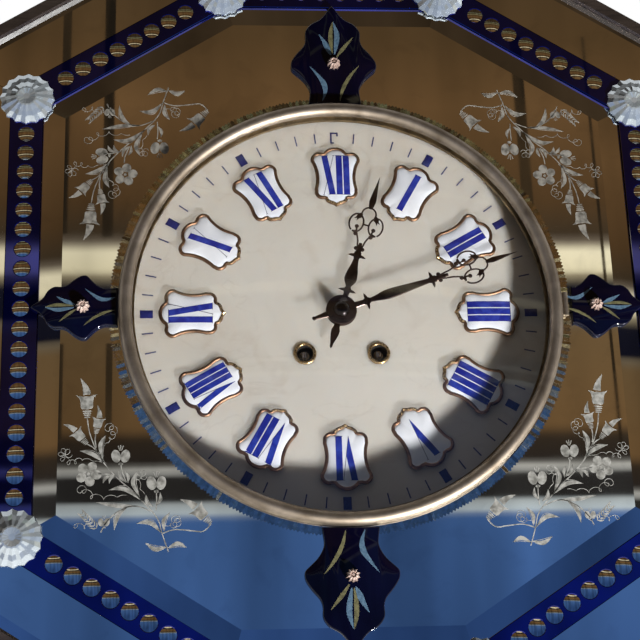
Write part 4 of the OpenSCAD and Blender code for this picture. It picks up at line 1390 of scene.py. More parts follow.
    def ball(self, x: float, y: float, size: float, thick: float) -> Piece:
        """Turns one of the small knobs, rounder than the wires.

        Args:
            x: Its place across the hand.
            y: Its place along the hand.
            size: Its radius.
            thick: Thickness of the hand.

        Returns:
            The knob.
        """
        half = thick / 2
        waist, neck = size * 0.6, half * 0.8
        profile = [(0.0, -half), (waist, -neck), (size, 0.0), (waist, neck), (0.0, half)]
        knob = Bench.turned("knob", profile, 14, 60.0)
        knob.data.transform(Matrix.Translation((x, y, half)))
        return knob

    def cusp(self, side: float, thick: float) -> Piece:
        """Cuts the pointed leaf that fills a ring's upper corner.

        Args:
            side: Left or right.
            thick: Thickness of the hand.

        Returns:
            The cusp.
        """
        r = self.ring
        leaf = [(0.15, 0.98), (-0.05, 1.16), (-0.4, 1.3), (-0.62, 1.1), (-0.55, 0.78)]
        leaf += [(-0.22, 0.62), (0.08, 0.3), (0.06, 0.62), (0.45, 0.55), (0.22, 0.76)]
        long = r * self.stretch
        points = [(side * (self.spread + x * r), self.ring_at + y * long - 0.1 * long) for x, y in leaf]
        return Bench.cut("cusp", [points if side > 0 else points[::-1]], thick, 0.2)

    def spear(self, thick: float) -> Piece:
        """Cuts the spear at the hand's end, with a raised middle.

        Args:
            thick: Thickness of the hand.

        Returns:
            The spear.
        """
        start = self.spear_foot
        run = self.length - start
        shares = ((0.0, 1.0), (0.28, 0.75), (0.66, 0.5), (0.97, 0.26), (1.0, 0.18), (0.75, 0.05))
        half = [(share * self.blade_half, start + run * up) for share, up in shares]
        half += [(0.47 * self.blade_half, start - 0.8), (0.0, start - 1.0)]
        return Bench.cut("spear", [mirrored_outline(half)], thick, 0.35)

    def tailpiece(self, thick: float) -> list[Piece]:
        """Forges the tail behind the hub; each kind of hand has its own."""
        raise NotImplementedError


@dataclass
class HourHand(Hand):
    """The hour hand, with a spade leaf behind its hub."""

    def tailpiece(self, thick: float) -> list[Piece]:
        """Cuts the spade leaf.

        Args:
            thick: Thickness of the hand.

        Returns:
            The leaf.
        """
        t = self.tail
        half = [(0.0, -9.0), (2.0, -9.4), (2.2, -12.0), (3.0, -0.52 * t), (2.8, -0.62 * t)]
        half += [(1.9, -0.76 * t), (1.1, -0.87 * t), (0.9, -0.96 * t), (0.0, -t)]
        return [Bench.cut("spade", [mirrored_outline(half)], thick, 0.35)]


@dataclass
class MinuteHand(Hand):
    """The minute hand, with a short tapered rod behind its hub."""

    def tailpiece(self, thick: float) -> list[Piece]:
        """Forges the tapered rod and its rounded end.

        Args:
            thick: Thickness of the hand.

        Returns:
            The rod.
        """
        t, mid = self.tail, thick / 2
        line = [(-8.0, 2.4), (-0.6 * t, 1.9), (-0.88 * t, 1.25)]
        line += [(-0.93 * t, 1.5), (-0.98 * t, 1.3), (-t, 0.5)]
        path = [(0.0, y, mid, w) for y, w in line]
        rod = Bench.drawn("rod", [spline(path, 4)], sides=3)
        self.flatten(rod, thick)
        return [rod]


@dataclass
class HandNut:
    """The domed black nut that holds the hands."""

    def build(self) -> None:
        """Turns the nut with a rolled edge and a dimple on top."""
        low, high = Placing.back("hand_nut"), Placing.front("hand_nut")
        h = high - low
        skirt = [(0.0, 0.0), (5.2, 0.0), (5.6, 0.25), (5.35, 0.42), (4.9, 0.5), (4.6, 0.62)]
        dome = [(3.7, 0.8), (2.4, 0.94), (1.3, 1.0), (0.8, 0.97), (0.0, 0.94)]
        profile = [(r, share * h) for r, share in skirt + dome]
        nut = Bench.turned("domed_nut", profile, 40, 50.0)
        settle(nut, Palette.BLACK_NUT, "minute_work", ["hand_nut"], Placing.at(0.0, 0.0, low))


def blade(line: Sequence[Sequence[float]], steps: int = 5) -> list[Point]:
    """Outlines a flat leaf or stem along a curved middle line.

    Args:
        line: Points of x, y and half width.
        steps: Pieces between two points.

    Returns:
        The closed outline, counterclockwise.
    """
    run = spline(line, steps)
    right, left = [], []
    for i, (x, y, half) in enumerate(run):
        before, after = run[max(i - 1, 0)], run[min(i + 1, len(run) - 1)]
        way = Vector((after[0] - before[0], after[1] - before[1])).normalized()
        right.append((x + way.y * half, y - way.x * half))
        left.append((x - way.y * half, y + way.x * half))
    return right + left[::-1]


def oval(x: float, y: float, wide: float, tall: float, turn: float, count: int = 16) -> list[Point]:
    """Outlines a tilted oval.

    Args:
        x: Its middle across.
        y: Its middle up.
        wide: Half its width.
        tall: Half its height.
        turn: Tilt in degrees.
        count: Number of points.

    Returns:
        The closed outline, counterclockwise.
    """
    c, s = math.cos(math.radians(turn)), math.sin(math.radians(turn))
    ring = arc((0.0, 0.0), 1.0, 0.0, 360.0 * (count - 1) / count, count)
    return [(x + wide * u * c - tall * v * s, y + wide * u * s + tall * v * c) for u, v in ring]


@dataclass(frozen=True)
class Octagon:
    """The mirror's eight-sided outline, which can be set outward."""

    side_x: float = 202.0
    top_y: float = 228.0
    side_y: float = 147.0
    top_x: float = 75.0

    def corners(self, out: float) -> list[Point]:
        """Gives the corners of the outline set outward.

        Args:
            out: Distance outward in millimetres.

        Returns:
            The eight corners, counterclockwise from the lower right side.
        """
        run, rise = self.side_x - self.top_x, self.top_y - self.side_y
        slant = math.hypot(run, rise)
        nx, ny = rise / slant, run / slant
        reach = nx * self.side_x + ny * self.side_y + out
        sx, ty = self.side_x + out, self.top_y + out
        sy, tx = (reach - nx * sx) / ny, (reach - ny * ty) / nx
        return [(sx, -sy), (sx, sy), (tx, ty), (-tx, ty), (-sx, sy), (-sx, -sy), (-tx, -ty), (tx, -ty)]


@dataclass
class LensRows:
    """Rows of small convex mirrors let into the hollows of the cobalt strips."""

    edge: Octagon = Octagon()
    out: float = 11.25
    pitch: float = 14.1
    margin: float = 38.0
    radius: float = 5.6
    crown: float = 0.35
    sink: float = 0.2

    def build(self, face: float) -> None:
        """Turns one lens and lays it in rows along the eight edges.

        Args:
            face: Height of the glass's face.
        """
        r, drop = self.radius, self.crown + self.sink
        shares = (0.0, 0.4, 0.75, 1.0)
        profile = [(r * s, self.crown - drop * s * s) for s in shares] + [(0.0, -self.sink - 0.3)]
        lens = Bench.turned("lens", profile, 14, 40.0)
        rows = Bench.spread(lens, "lens_rows", self.places(face))
        settle(rows, Palette.LENS, "case")

    def places(self, face: float) -> list[Matrix]:
        """Gives the place of every lens.

        Args:
            face: Height of the glass's face.

        Returns:
            A matrix for each lens.
        """
        spots = []
        corners = self.edge.corners(self.out)
        for (x0, y0), (x1, y1) in zip(corners, corners[1:] + corners[:1]):
            run = math.hypot(x1 - x0, y1 - y0)
            count = math.floor((run - self.margin) / self.pitch)
            for k in range(count):
                share = 0.5 + (k - (count - 1) / 2) * self.pitch / run
                spots.append(Placing.at(x0 + (x1 - x0) * share, y0 + (y1 - y0) * share, face))
        return spots


@dataclass
class CutRosettes:
    """Facetted stars of cut glass over the corners of the strips."""

    edge: Octagon = Octagon()
    out: float = 11.25
    radius: float = 18.8
    hollow: float = 0.93
    points: int = 16

    def build(self, face: float) -> None:
        """Cuts one star and sets it on the eight corners.

        Args:
            face: Height of the glass's face.
        """
        tall = Placing.front("vertex_rosettes") - face
        outline = polar([self.radius * k for k in (self.hollow, 1.0)] * self.points)
        rings = [(1.0, 0.0), (1.0, 0.24 * tall), (0.8, 0.55 * tall), (0.62, 0.7 * tall), (0.4, 0.97 * tall)]
        star = Bench.raised("star", outline, rings + [(0.34, tall), (0.12, 0.88 * tall)], 4.0)
        spots = self.edge.corners(self.out)
        places = [Placing.at(x, y, face, math.degrees(math.atan2(y, x))) for x, y in spots]
        stars = Bench.spread(star, "cut_rosettes", places)
        settle(stars, Palette.CUT_GLASS, "case", ["vertex_rosettes"])


@dataclass
class CutRing:
    """The fluted cut in the mirror's edge round the bezel, with a toothed outer edge."""

    inner: float = 149.7
    reach: float = 6.0
    shoulder: float = 4.7
    rise: float = 0.75
    foot: float = 0.03
    ridge: float = 0.13
    teeth: int = 400
    sway: float = 2.9
    deep: float = 12.0
    slips: float = 0.2
    lengths: Point = (0.93, 1.08)
    seed: int = 11

    def build(self, face: float) -> None:
        """Cuts one flute and lays the ring of them.

        Args:
            face: Height of the glass's face.
        """
        half = math.pi * self.inner / self.teeth
        wide = half * (self.inner + self.shoulder) / self.inner
        left = [(-wide, self.shoulder), (-half, 0.0)]
        right = [(half, 0.0), (wide, self.shoulder)]
        outline = [(0.0, self.reach), *left, (0.0, 0.0), *right]
        flute = Bench.raised("flute", outline, [(1.0, 0.0), (1.0, 1.0)], 2.0)
        for vertex in flute.data.vertices:
            if vertex.co.z > 0.5:
                crest = self.ridge * (1.0 - abs(vertex.co.x) / half)
                slope = self.rise * (1.0 - vertex.co.y / self.reach)
                vertex.co.z = self.foot + slope + max(crest, 0.0)
        settle(Bench.spread(flute, "cut_ring", self.places(face)), Palette.CUT_EDGE, "case")

    def places(self, face: float) -> list[Matrix]:
        """Gives the place of every flute, each tilted a little by the cutter's hand.

        Args:
            face: Height of the glass's face.

        Returns:
            A matrix for each flute.
        """
        hand = random.Random(self.seed)
        spots = []
        for i in range(self.teeth):
            reach = self.deep if hand.random() < self.slips else self.sway
            lean = Matrix.Rotation(math.radians(hand.uniform(-reach, reach)), 4, "Y")
            nod = Matrix.Rotation(math.radians(hand.uniform(-self.sway, self.sway) / 2), 4, "X")
            long = Matrix.Diagonal((1.0, hand.uniform(*self.lengths), 1.0, 1.0))
            spots.append(Placing.around(self.inner, 360.0 * i / self.teeth, face) @ lean @ nod @ long)
        return spots


@dataclass
class LeafOrnaments:
    """Four shaped cobalt glasses round the bezel, with painted leaves and a crystal stud."""

    start: float = 149.5
    side_run: float = 57.0
    end_run: float = 78.0
    drawn_run: float = 53.0
    notch: float = 6.0
    stud: float = 0.4
    film_thick: float = 0.06
    half: tuple[Point, ...] = (
        (0.0, 12.6), (3.0, 12.2), (7.3, 11.8), (10.5, 12.9), (13.7, 15.0), (16.7, 18.1), (18.4, 19.9),
        (20.0, 20.6), (23.0, 20.1), (27.0, 17.5), (30.8, 14.3), (34.2, 13.2), (38.0, 13.3), (40.6, 12.3),
        (43.2, 9.9), (45.3, 6.2), (48.3, 3.4), (51.3, 1.6), (53.0, 0.0),
    )  # fmt: skip
    blue: tuple[tuple[tuple[float, float, float], ...], ...] = (
        ((1.5, 6.0, 0.1), (6.0, 4.6, 0.9), (10.0, 4.8, 1.3), (14.0, 7.0, 0.9), (20.0, 11.6, 0.1)),
        ((26.0, 1.2, 0.3), (29.5, 2.6, 1.3), (33.0, 4.2, 1.0), (37.2, 6.6, 0.1)),
        ((26.5, -0.6, 0.3), (32.0, -1.6, 1.1), (37.5, -2.0, 1.2), (44.0, -0.4, 0.1)),
    )
    olive: tuple[tuple[tuple[float, float, float], ...], ...] = (
        ((1.5, -2.4, 0.1), (6.0, -3.4, 0.7), (10.5, -5.2, 0.9), (15.5, -8.2, 0.7), (20.4, -12.2, 0.1)),
        ((26.5, 0.4, 0.2), (32.0, 1.0, 0.9), (38.0, 1.0, 1.0), (44.0, -0.2, 0.1)),
        ((25.0, -1.6, 0.3), (29.0, -4.4, 0.9), (32.0, -6.8, 0.7), (35.6, -9.8, 0.1)),
    )

    def build(self, face: float) -> None:
        """Cuts the glasses, paints them and sets the studs.

        Args:
            face: Height of the mirror's face.
        """
        top = Placing.front("leaf_ornaments")
        across, upright = self.side_run, self.end_run
        runs = ((0.0, across), (90.0, upright), (180.0, across), (270.0, upright))
        glasses, blues, olives, studs = [], [], [], []
        stud_top = Placing.front("leaf_studs")
        for turn, run in runs:
            seat = Matrix.Rotation(math.radians(turn), 4, "Z") @ Matrix.Translation((self.start, 0.0, 0.0))
            side = -1.0 if turn == 180.0 else 1.0
            bed = seat @ Matrix.Translation((0.0, 0.0, face))
            glasses.append(self.glass(run, turn == 0.0, top - face, bed))
            film = seat @ Matrix.Translation((0.0, 0.0, top - self.film_thick / 2))
            for strokes, pile in ((self.blue, blues), (self.olive, olives)):
                pile.append(self.painted(strokes, run / self.drawn_run, side, film))
            spot = seat @ Matrix.Translation((self.stud * run, 0.0, top))
            studs.append(self.crystal(stud_top - top, spot))
        settle(Bench.joined("leaf_glasses", glasses), Palette.LEAF_GLASS, "case", ["leaf_ornaments"])
        settle(Bench.joined("leaf_blue_paint", blues), Palette.LEAF_BLUE, "case")
        settle(Bench.joined("leaf_olive_paint", olives), Palette.LEAF_OLIVE, "case")
        settle(Bench.joined("crystal_studs", studs), Palette.ROSE_GLASS, "case", ["leaf_studs"])

    def glass(self, run: float, notched: bool, thick: float, seat: Matrix) -> Piece:
        """Cuts one glass with polished edges.

        Args:
            run: Its length.
            notched: Whether its foot is cut back for the hinge.
            thick: Its thickness.
            seat: Its place.

        Returns:
            The glass.
        """
        k = run / self.drawn_run
        smooth = [(x * k, y * k) for x, y in spline(self.half, 3)]
        if notched:
            smooth = [(self.notch + 0.3, smooth[0][1])] + [p for p in smooth if p[0] > self.notch + 0.5]
        lower = [(x, -y) for x, y in smooth]
        outline = lower + smooth[::-1][1:]
        piece = Bench.cut("leaf_glass", [outline], thick, 0.9, 2)
        piece.data.transform(seat)
        return piece

    def painted(
        self, strokes: Sequence[Sequence[Sequence[float]]], k: float, side: float, seat: Matrix
    ) -> Piece:
        """Paints leaf strokes as a thin film.

        Args:
            strokes: Points of x, y and half width of each stroke.
            k: Size of the ornament against the drawn one.
            side: Which way is up.
            seat: Place of the film.

        Returns:
            The film.
        """
        loops = [blade([(x * k, side * y * k, w * k) for x, y, w in stroke]) for stroke in strokes]
        piece = Bench.cut("paint", loops, self.film_thick)
        piece.data.transform(seat)
        return piece

    def crystal(self, tall: float, seat: Matrix) -> Piece:
        """Cuts a ten-petalled crystal stud.

        Args:
            tall: Its height.
            seat: Its place.

        Returns:
            The stud.
        """
        radius = (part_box("leaf_studs")[1][0] / MM - self.start - self.stud * self.side_run) - 0.05
        steps, petals = 40, 10.0
        waves = [math.cos(petals * math.tau * i / steps) for i in range(steps)]
        outline = polar([radius * (0.88 + 0.12 * wave) for wave in waves])
        shares = ((1.0, 0.0), (1.0, 0.3), (0.82, 0.75), (0.5, 1.0), (0.3, 0.8), (0.12, 0.95))
        stud = Bench.raised("stud", outline, [(share, up * tall) for share, up in shares], 12.0)
        stud.data.transform(seat)
        return stud


def moved(
    shapes: Sequence[Sequence[Point]], x: float, y: float, tilt: float, size: float
) -> list[list[Point]]:
    """Sizes, turns and places outlines.

    Args:
        shapes: The outlines, round their own middle.
        x: Their place across.
        y: Their place up.
        tilt: Turn in degrees.
        size: Their size.

    Returns:
        The placed outlines.
    """
    c, s = size * math.cos(math.radians(tilt)), size * math.sin(math.radians(tilt))
    return [[(x + u * c - v * s, y + u * s + v * c) for u, v in loop] for loop in shapes]


@dataclass(frozen=True)
class Bellflower:
    """A ringed bell with a curved tongue, by its foot, tilt and size."""

    x: float
    y: float
    tilt: float
    size: float

    def loops(self) -> list[list[Point]]:
        """Draws the rings, the bell and its tongue.

        Returns:
            The shapes' outlines.
        """
        shapes = [oval(0.0, 0.9 + 1.35 * i, 2.0 + 0.35 * i, 0.5, 0.0, 12) for i in range(4)]
        lip = [(0.0, 15.0), (2.2, 14.8), (4.0, 15.3), (6.9, 16.0)]
        side = [(4.8, 14.0), (4.1, 11.6), (3.9, 7.6), (3.2, 6.4), (0.0, 6.1)]
        shapes.append(mirrored_outline(lip + side))
        tongue = [(0.4, 16.0, 2.6), (0.0, 19.0, 2.3), (-1.0, 22.4, 1.5), (-3.4, 27.2, 0.15)]
        shapes.append(blade(tongue))
        return moved(shapes, self.x, self.y, self.tilt, self.size)


@dataclass(frozen=True)
class Bud:
    """A two-lobed bud with stamens, by its middle, size and tilt."""

    x: float
    y: float
    size: float
    tilt: float = 0.0

    def loops(self) -> list[list[Point]]:
        """Draws the lobes, the calyx and the stamens.

        Returns:
            The shapes' outlines.
        """
        shapes = [oval(side * 2.95, 0.0, 3.0, 4.3, -side * 12.0) for side in (-1.0, 1.0)]
        shapes.append(oval(0.0, -5.2, 1.5, 0.9, 0.0, 12))
        for lean in (-1.7, 0.0, 1.7):
            shapes.append(blade([(0.3 * lean, 3.6, 0.16), (lean, 7.4 - 0.3 * abs(lean), 0.28)], 3))
        return moved(shapes, self.x, self.y, self.tilt, self.size)


@dataclass(frozen=True)
class Blossom:
    """A five-petalled flower seen from the front."""

    x: float
    y: float
    size: float

    def loops(self) -> list[list[Point]]:
        """Draws the petals and the eye.

        Returns:
            The shapes' outlines.
        """
        k = self.size
        shapes = [oval(self.x, self.y, 0.9 * k, 0.9 * k, 0.0, 12)]
        for i in range(5):
            a = 64.0 + 72.0 * i
            u, v = math.cos(math.radians(a)), math.sin(math.radians(a))
            reach = 4.5 * k
            shapes.append(oval(self.x + reach * u, self.y + reach * v, 2.9 * k, 2.75 * k, a))
        return shapes


@dataclass
class Sprays:
    """A pair of engraved flower sprays in the mirror's corners, drawn as the lower left one."""

    name: str
    frost: Finish
    up: float
    buds: tuple[Bud, ...]
    blossom: Blossom
    lift: float = 0.02
    thick: float = 0.06
    stalk: float = 0.34
    coil: float = 2.1
    wire: float = 0.17
    stems: tuple[tuple[Point, ...], ...] = (
        ((-116.0, -163.0), (-119.9, -151.4), (-122.0, -143.5), (-126.3, -137.0), (-131.2, -131.8),
         (-138.4, -123.8), (-145.5, -117.9), (-153.4, -109.8), (-158.4, -103.1), (-162.8, -95.0),
         (-166.6, -84.6), (-168.1, -75.6)),
        ((-162.1, -95.0), (-162.9, -90.5), (-162.6, -86.1)),
        ((-159.9, -99.4), (-164.2, -94.9), (-167.8, -92.7)),
        ((-142.7, -117.9), (-145.6, -110.6), (-146.3, -105.4)),
        ((-148.4, -114.2), (-154.0, -112.6), (-160.5, -112.2)),
        ((-123.8, -136.5), (-123.4, -129.0), (-123.8, -123.4)),
        ((-127.0, -137.0), (-135.5, -133.6), (-143.0, -134.4), (-150.0, -138.4), (-155.6, -144.4),
         (-158.5, -150.1)),
        ((-119.9, -151.4), (-112.0, -149.0), (-102.0, -149.8), (-94.0, -150.4), (-88.8, -145.5)),
    )  # fmt: skip
    tendrils: tuple[tuple[Point, ...], ...] = (
        ((-158.4, -104.6), (-165.5, -103.0), (-171.2, -102.6), (-174.7, -104.4), (-178.6, -103.6),
         (-181.9, -100.6), (-181.4, -97.6), (-178.8, -97.4), (-177.4, -99.6)),
        ((-157.0, -94.0), (-153.4, -90.2), (-150.0, -87.2), (-148.8, -83.6), (-151.2, -80.8),
         (-153.6, -82.6)),
        ((-142.6, -126.3), (-149.6, -126.9), (-157.4, -127.7), (-164.0, -125.4), (-168.0, -121.9),
         (-170.6, -122.6)),
        ((-131.0, -126.0), (-133.6, -119.4), (-132.8, -113.4), (-130.4, -112.2), (-129.8, -114.6)),
        ((-119.0, -147.0), (-114.3, -145.8), (-110.6, -146.4), (-107.9, -144.6), (-108.6, -142.0),
         (-111.0, -142.6)),
        ((-164.0, -143.6), (-168.6, -146.4), (-173.0, -144.4)),
    )  # fmt: skip
    leaves: tuple[tuple[Point, Point, Point, float], ...] = (
        ((-155.9, -105.3), (-164.2, -98.8), (-172.4, -97.0), 2.1),
        ((-157.7, -103.1), (-159.0, -93.6), (-156.2, -86.9), 2.0),
        ((-142.7, -117.9), (-146.6, -114.6), (-147.6, -109.8), 1.2),
        ((-141.6, -118.4), (-141.6, -114.4), (-143.4, -110.8), 1.1),
        ((-150.0, -113.8), (-152.8, -115.0), (-153.6, -118.8), 1.3),
        ((-152.4, -113.0), (-156.2, -115.2), (-157.6, -118.4), 1.2),
        ((-132.0, -130.4), (-143.6, -121.9), (-153.9, -122.8), 2.1),
        ((-134.1, -127.5), (-138.0, -118.2), (-135.3, -110.4), 2.0),
        ((-125.6, -134.1), (-129.4, -131.0), (-130.2, -126.1), 1.4),
        ((-123.5, -133.4), (-121.0, -129.4), (-121.2, -124.8), 1.2),
        ((-135.5, -133.6), (-148.8, -132.9), (-161.6, -130.7), 1.7),
        ((-142.5, -134.6), (-148.4, -139.4), (-150.1, -148.8), 2.2),
        ((-120.6, -150.7), (-127.4, -143.9), (-136.1, -144.7), 2.2),
        ((-118.6, -150.0), (-118.6, -143.4), (-115.0, -137.9), 1.8),
        ((-117.0, -160.0), (-124.0, -160.8), (-130.5, -157.2), 2.2),
        ((-116.6, -161.0), (-110.0, -158.4), (-104.6, -160.6), 2.0),
    )
    bells: tuple[Bellflower, ...] = (
        Bellflower(-168.1, -75.6, 3.0, 1.0),
        Bellflower(-162.6, -86.1, -9.9, 0.7),
        Bellflower(-167.8, -92.7, 42.0, 0.75),
        Bellflower(-88.8, -145.5, 44.0, 0.92),
    )
    ear: tuple[Point, Point] = ((-158.5, -150.1), (-170.6, -137.7))

    def build(self, face: float) -> None:
        """Engraves one spray and mirrors it to the other side.

        Args:
            face: Height of the mirror's face.
        """
        spray = self.spray()
        rise = Matrix.Translation((0.0, 0.0, face + self.lift))
        places = [rise @ Matrix.Diagonal((across, self.up, 1.0, 1.0)) for across in (1.0, -1.0)]
        settle(Bench.spread(spray, self.name, places), self.frost, "case")

    def spray(self) -> Piece:
        """Cuts all the shapes of one spray.

        Returns:
            The spray as one thin film.
        """
        lines = [blade([(x, y, self.stalk) for x, y in stem], 4) for stem in self.stems]
        lines += self.wheat()
        leaves = [loop for leaf in self.leaves for loop in self.halved(*leaf)]
        flowers = [loop for flower in (*self.bells, *self.buds, self.blossom) for loop in flower.loops()]
        films = [Bench.cut("film", [loop], self.thick) for loop in (*lines, *leaves, *flowers)]
        coils = [[(x, y, 0.0, self.wire) for x, y in self.coiled(tendril)] for tendril in self.tendrils]
        threads = Bench.drawn("threads", coils, sides=1)
        threads.data.transform(Matrix.Diagonal((1.0, 1.0, self.thick / self.wire, 1.0)))
        return Bench.joined("spray", [*films, threads])

    def halved(self, foot: Point, middle: Point, tip: Point, wide: float) -> list[list[Point]]:
        """Draws a leaf as one frosted half and the fine outline of the other.

        Args:
            foot: Where the leaf starts.
            middle: A point on its midrib.
            tip: Where it ends.
            wide: Half its width.

        Returns:
            The outlines of the half and of the fine line.
        """
        way = (Vector(tip) - Vector(foot)).normalized()
        side = Vector((-way.y, way.x))
        full = Vector(middle) + side * (0.24 * wide)
        thin = Vector(middle) - side * (0.8 * wide)
        half = blade([(*foot, 0.2), (*full, 0.68 * wide), (*tip, 0.1)], 7)
        return [half, blade([(*foot, 0.12), (*thin, 0.16), (*tip, 0.08)], 7)]

    def coiled(self, tendril: Sequence[Point]) -> list[Point]:
        """Winds a tendril into loops along its line.

        Args:
            tendril: The points that the tendril runs along.

        Returns:
            The wound line.
        """
        run = spline(tendril, 14)
        wound = []
        for i, (x, y) in enumerate(run):
            share = i / (len(run) - 1)
            a = math.tau * share * (len(tendril) - 1)
            reach = self.coil * min(1.0, 2.0 * share)
            wound.append((x + reach * math.cos(a) - reach, y + reach * math.sin(a)))
        return wound

    def wheat(self) -> list[list[Point]]:
        """Draws the barbs of the corn ear.

        Returns:
            The barbs' outlines.
        """
        (x0, y0), (x1, y1) = self.ear
        way = Vector((x1 - x0, y1 - y0)).normalized()
        side = Vector((-way.y, way.x))
        barbs = []
        for i in range(7):
            foot = Vector((x0, y0)).lerp(Vector((x1, y1)), 0.22 + 0.12 * i)
            for s in (-1.0, 1.0):
                tip = foot + way * 3.2 + side * (s * (3.0 - 0.2 * i))
                middle = foot + way * 1.4 + side * (s * 1.6)
                barbs.append(blade([(*foot, 0.15), (*middle, 0.55), (*tip, 0.08)], 3))
        return barbs


@dataclass
class Carcass:
    """The wooden case, the glass and the movement: CAD nodes that keep their shape and get a finish."""

    nodes: dict[str, Piece]
    wear: tuple[tuple[Finish, tuple[str, ...]], ...] = (
        (Palette.BOARD, ("front_board",)),
        (Palette.EBONISED, ("edge_moulding",)),
        (Palette.CASE, ("box_sides", "back_frame")),
        (Palette.DOOR, ("rear_door",)),
        (Palette.MIRROR, ("mirror_panel", "outer_mirror_strips")),
        (Palette.COBALT, ("cobalt_strips",)),
        (Palette.CUT_GLASS, ("vertex_rosettes",)),
        (Palette.LEAF_GLASS, ("leaf_ornaments",)),
        (Palette.ROSE_GLASS, ("leaf_studs",)),
        (Palette.ALABASTER, ("dial_plate",)),
        (Palette.COPPER_RIM, ("cartouche_frames",)),
        (Palette.ENAMEL, ("enamel_plaques",)),
        (Palette.EYELET_BRASS, ("winding_eyelets",)),
        (Palette.NICKEL, ("bezel_ring", "bezel_hinge_plate")),
        (Palette.GILT_LIP_PAINTED_SHADE, ("sight_ring",)),
        (Palette.PANE, ("bezel_glass",)),
        (Palette.BLACK_STEEL, ("minute_hand", "hour_hand")),
        (Palette.BLACK_NUT, ("hand_nut",)),
        (Palette.STEEL, ("hanger_plate", "case_screws", "plate_pillars", "movement_straps")),
        (Palette.STEEL, ("going_arbor", "going_click", "strike_arbor", "strike_click", "cannon_pinion")),
        (Palette.STEEL, ("pendulum_rod", "anchor", "hammer")),
        (Palette.SPRING, ("suspension_spring",)),
        (Palette.BELL, ("bell",)),
    )

    def dress(self) -> None:
        """Gives every CAD node its finish, and brass to the rest of the movement."""
        worn = {name: finish for finish, names in self.wear for name in names}
        for name, node in self.nodes.items():
            dress(node, worn.get(name, Palette.BRASS))
        LOG.info("nodes dressed: %d", len(self.nodes))


@dataclass(frozen=True)
class Lamp:
    """An area lamp that faces the dial, by its direction, distance, size and power."""

    name: str
    way: tuple[float, float, float]
    far: float
    size: float
    watts: float
    mirrored: bool = False

    def hang(self, target: Vector) -> None:
        """Hangs the lamp.

        Args:
            target: What it faces.
        """
        way = Vector(self.way)
        Bench.clear()
        bpy.ops.object.light_add(type="AREA", location=target + way.normalized() * self.far)
        lamp = bpy.context.object
        lamp.name = self.name
        lamp.data.energy = self.watts
        lamp.data.size = self.size
        lamp.visible_glossy = self.mirrored
        lamp.rotation_euler = (-way).to_track_quat("-Z", "Y").to_euler()


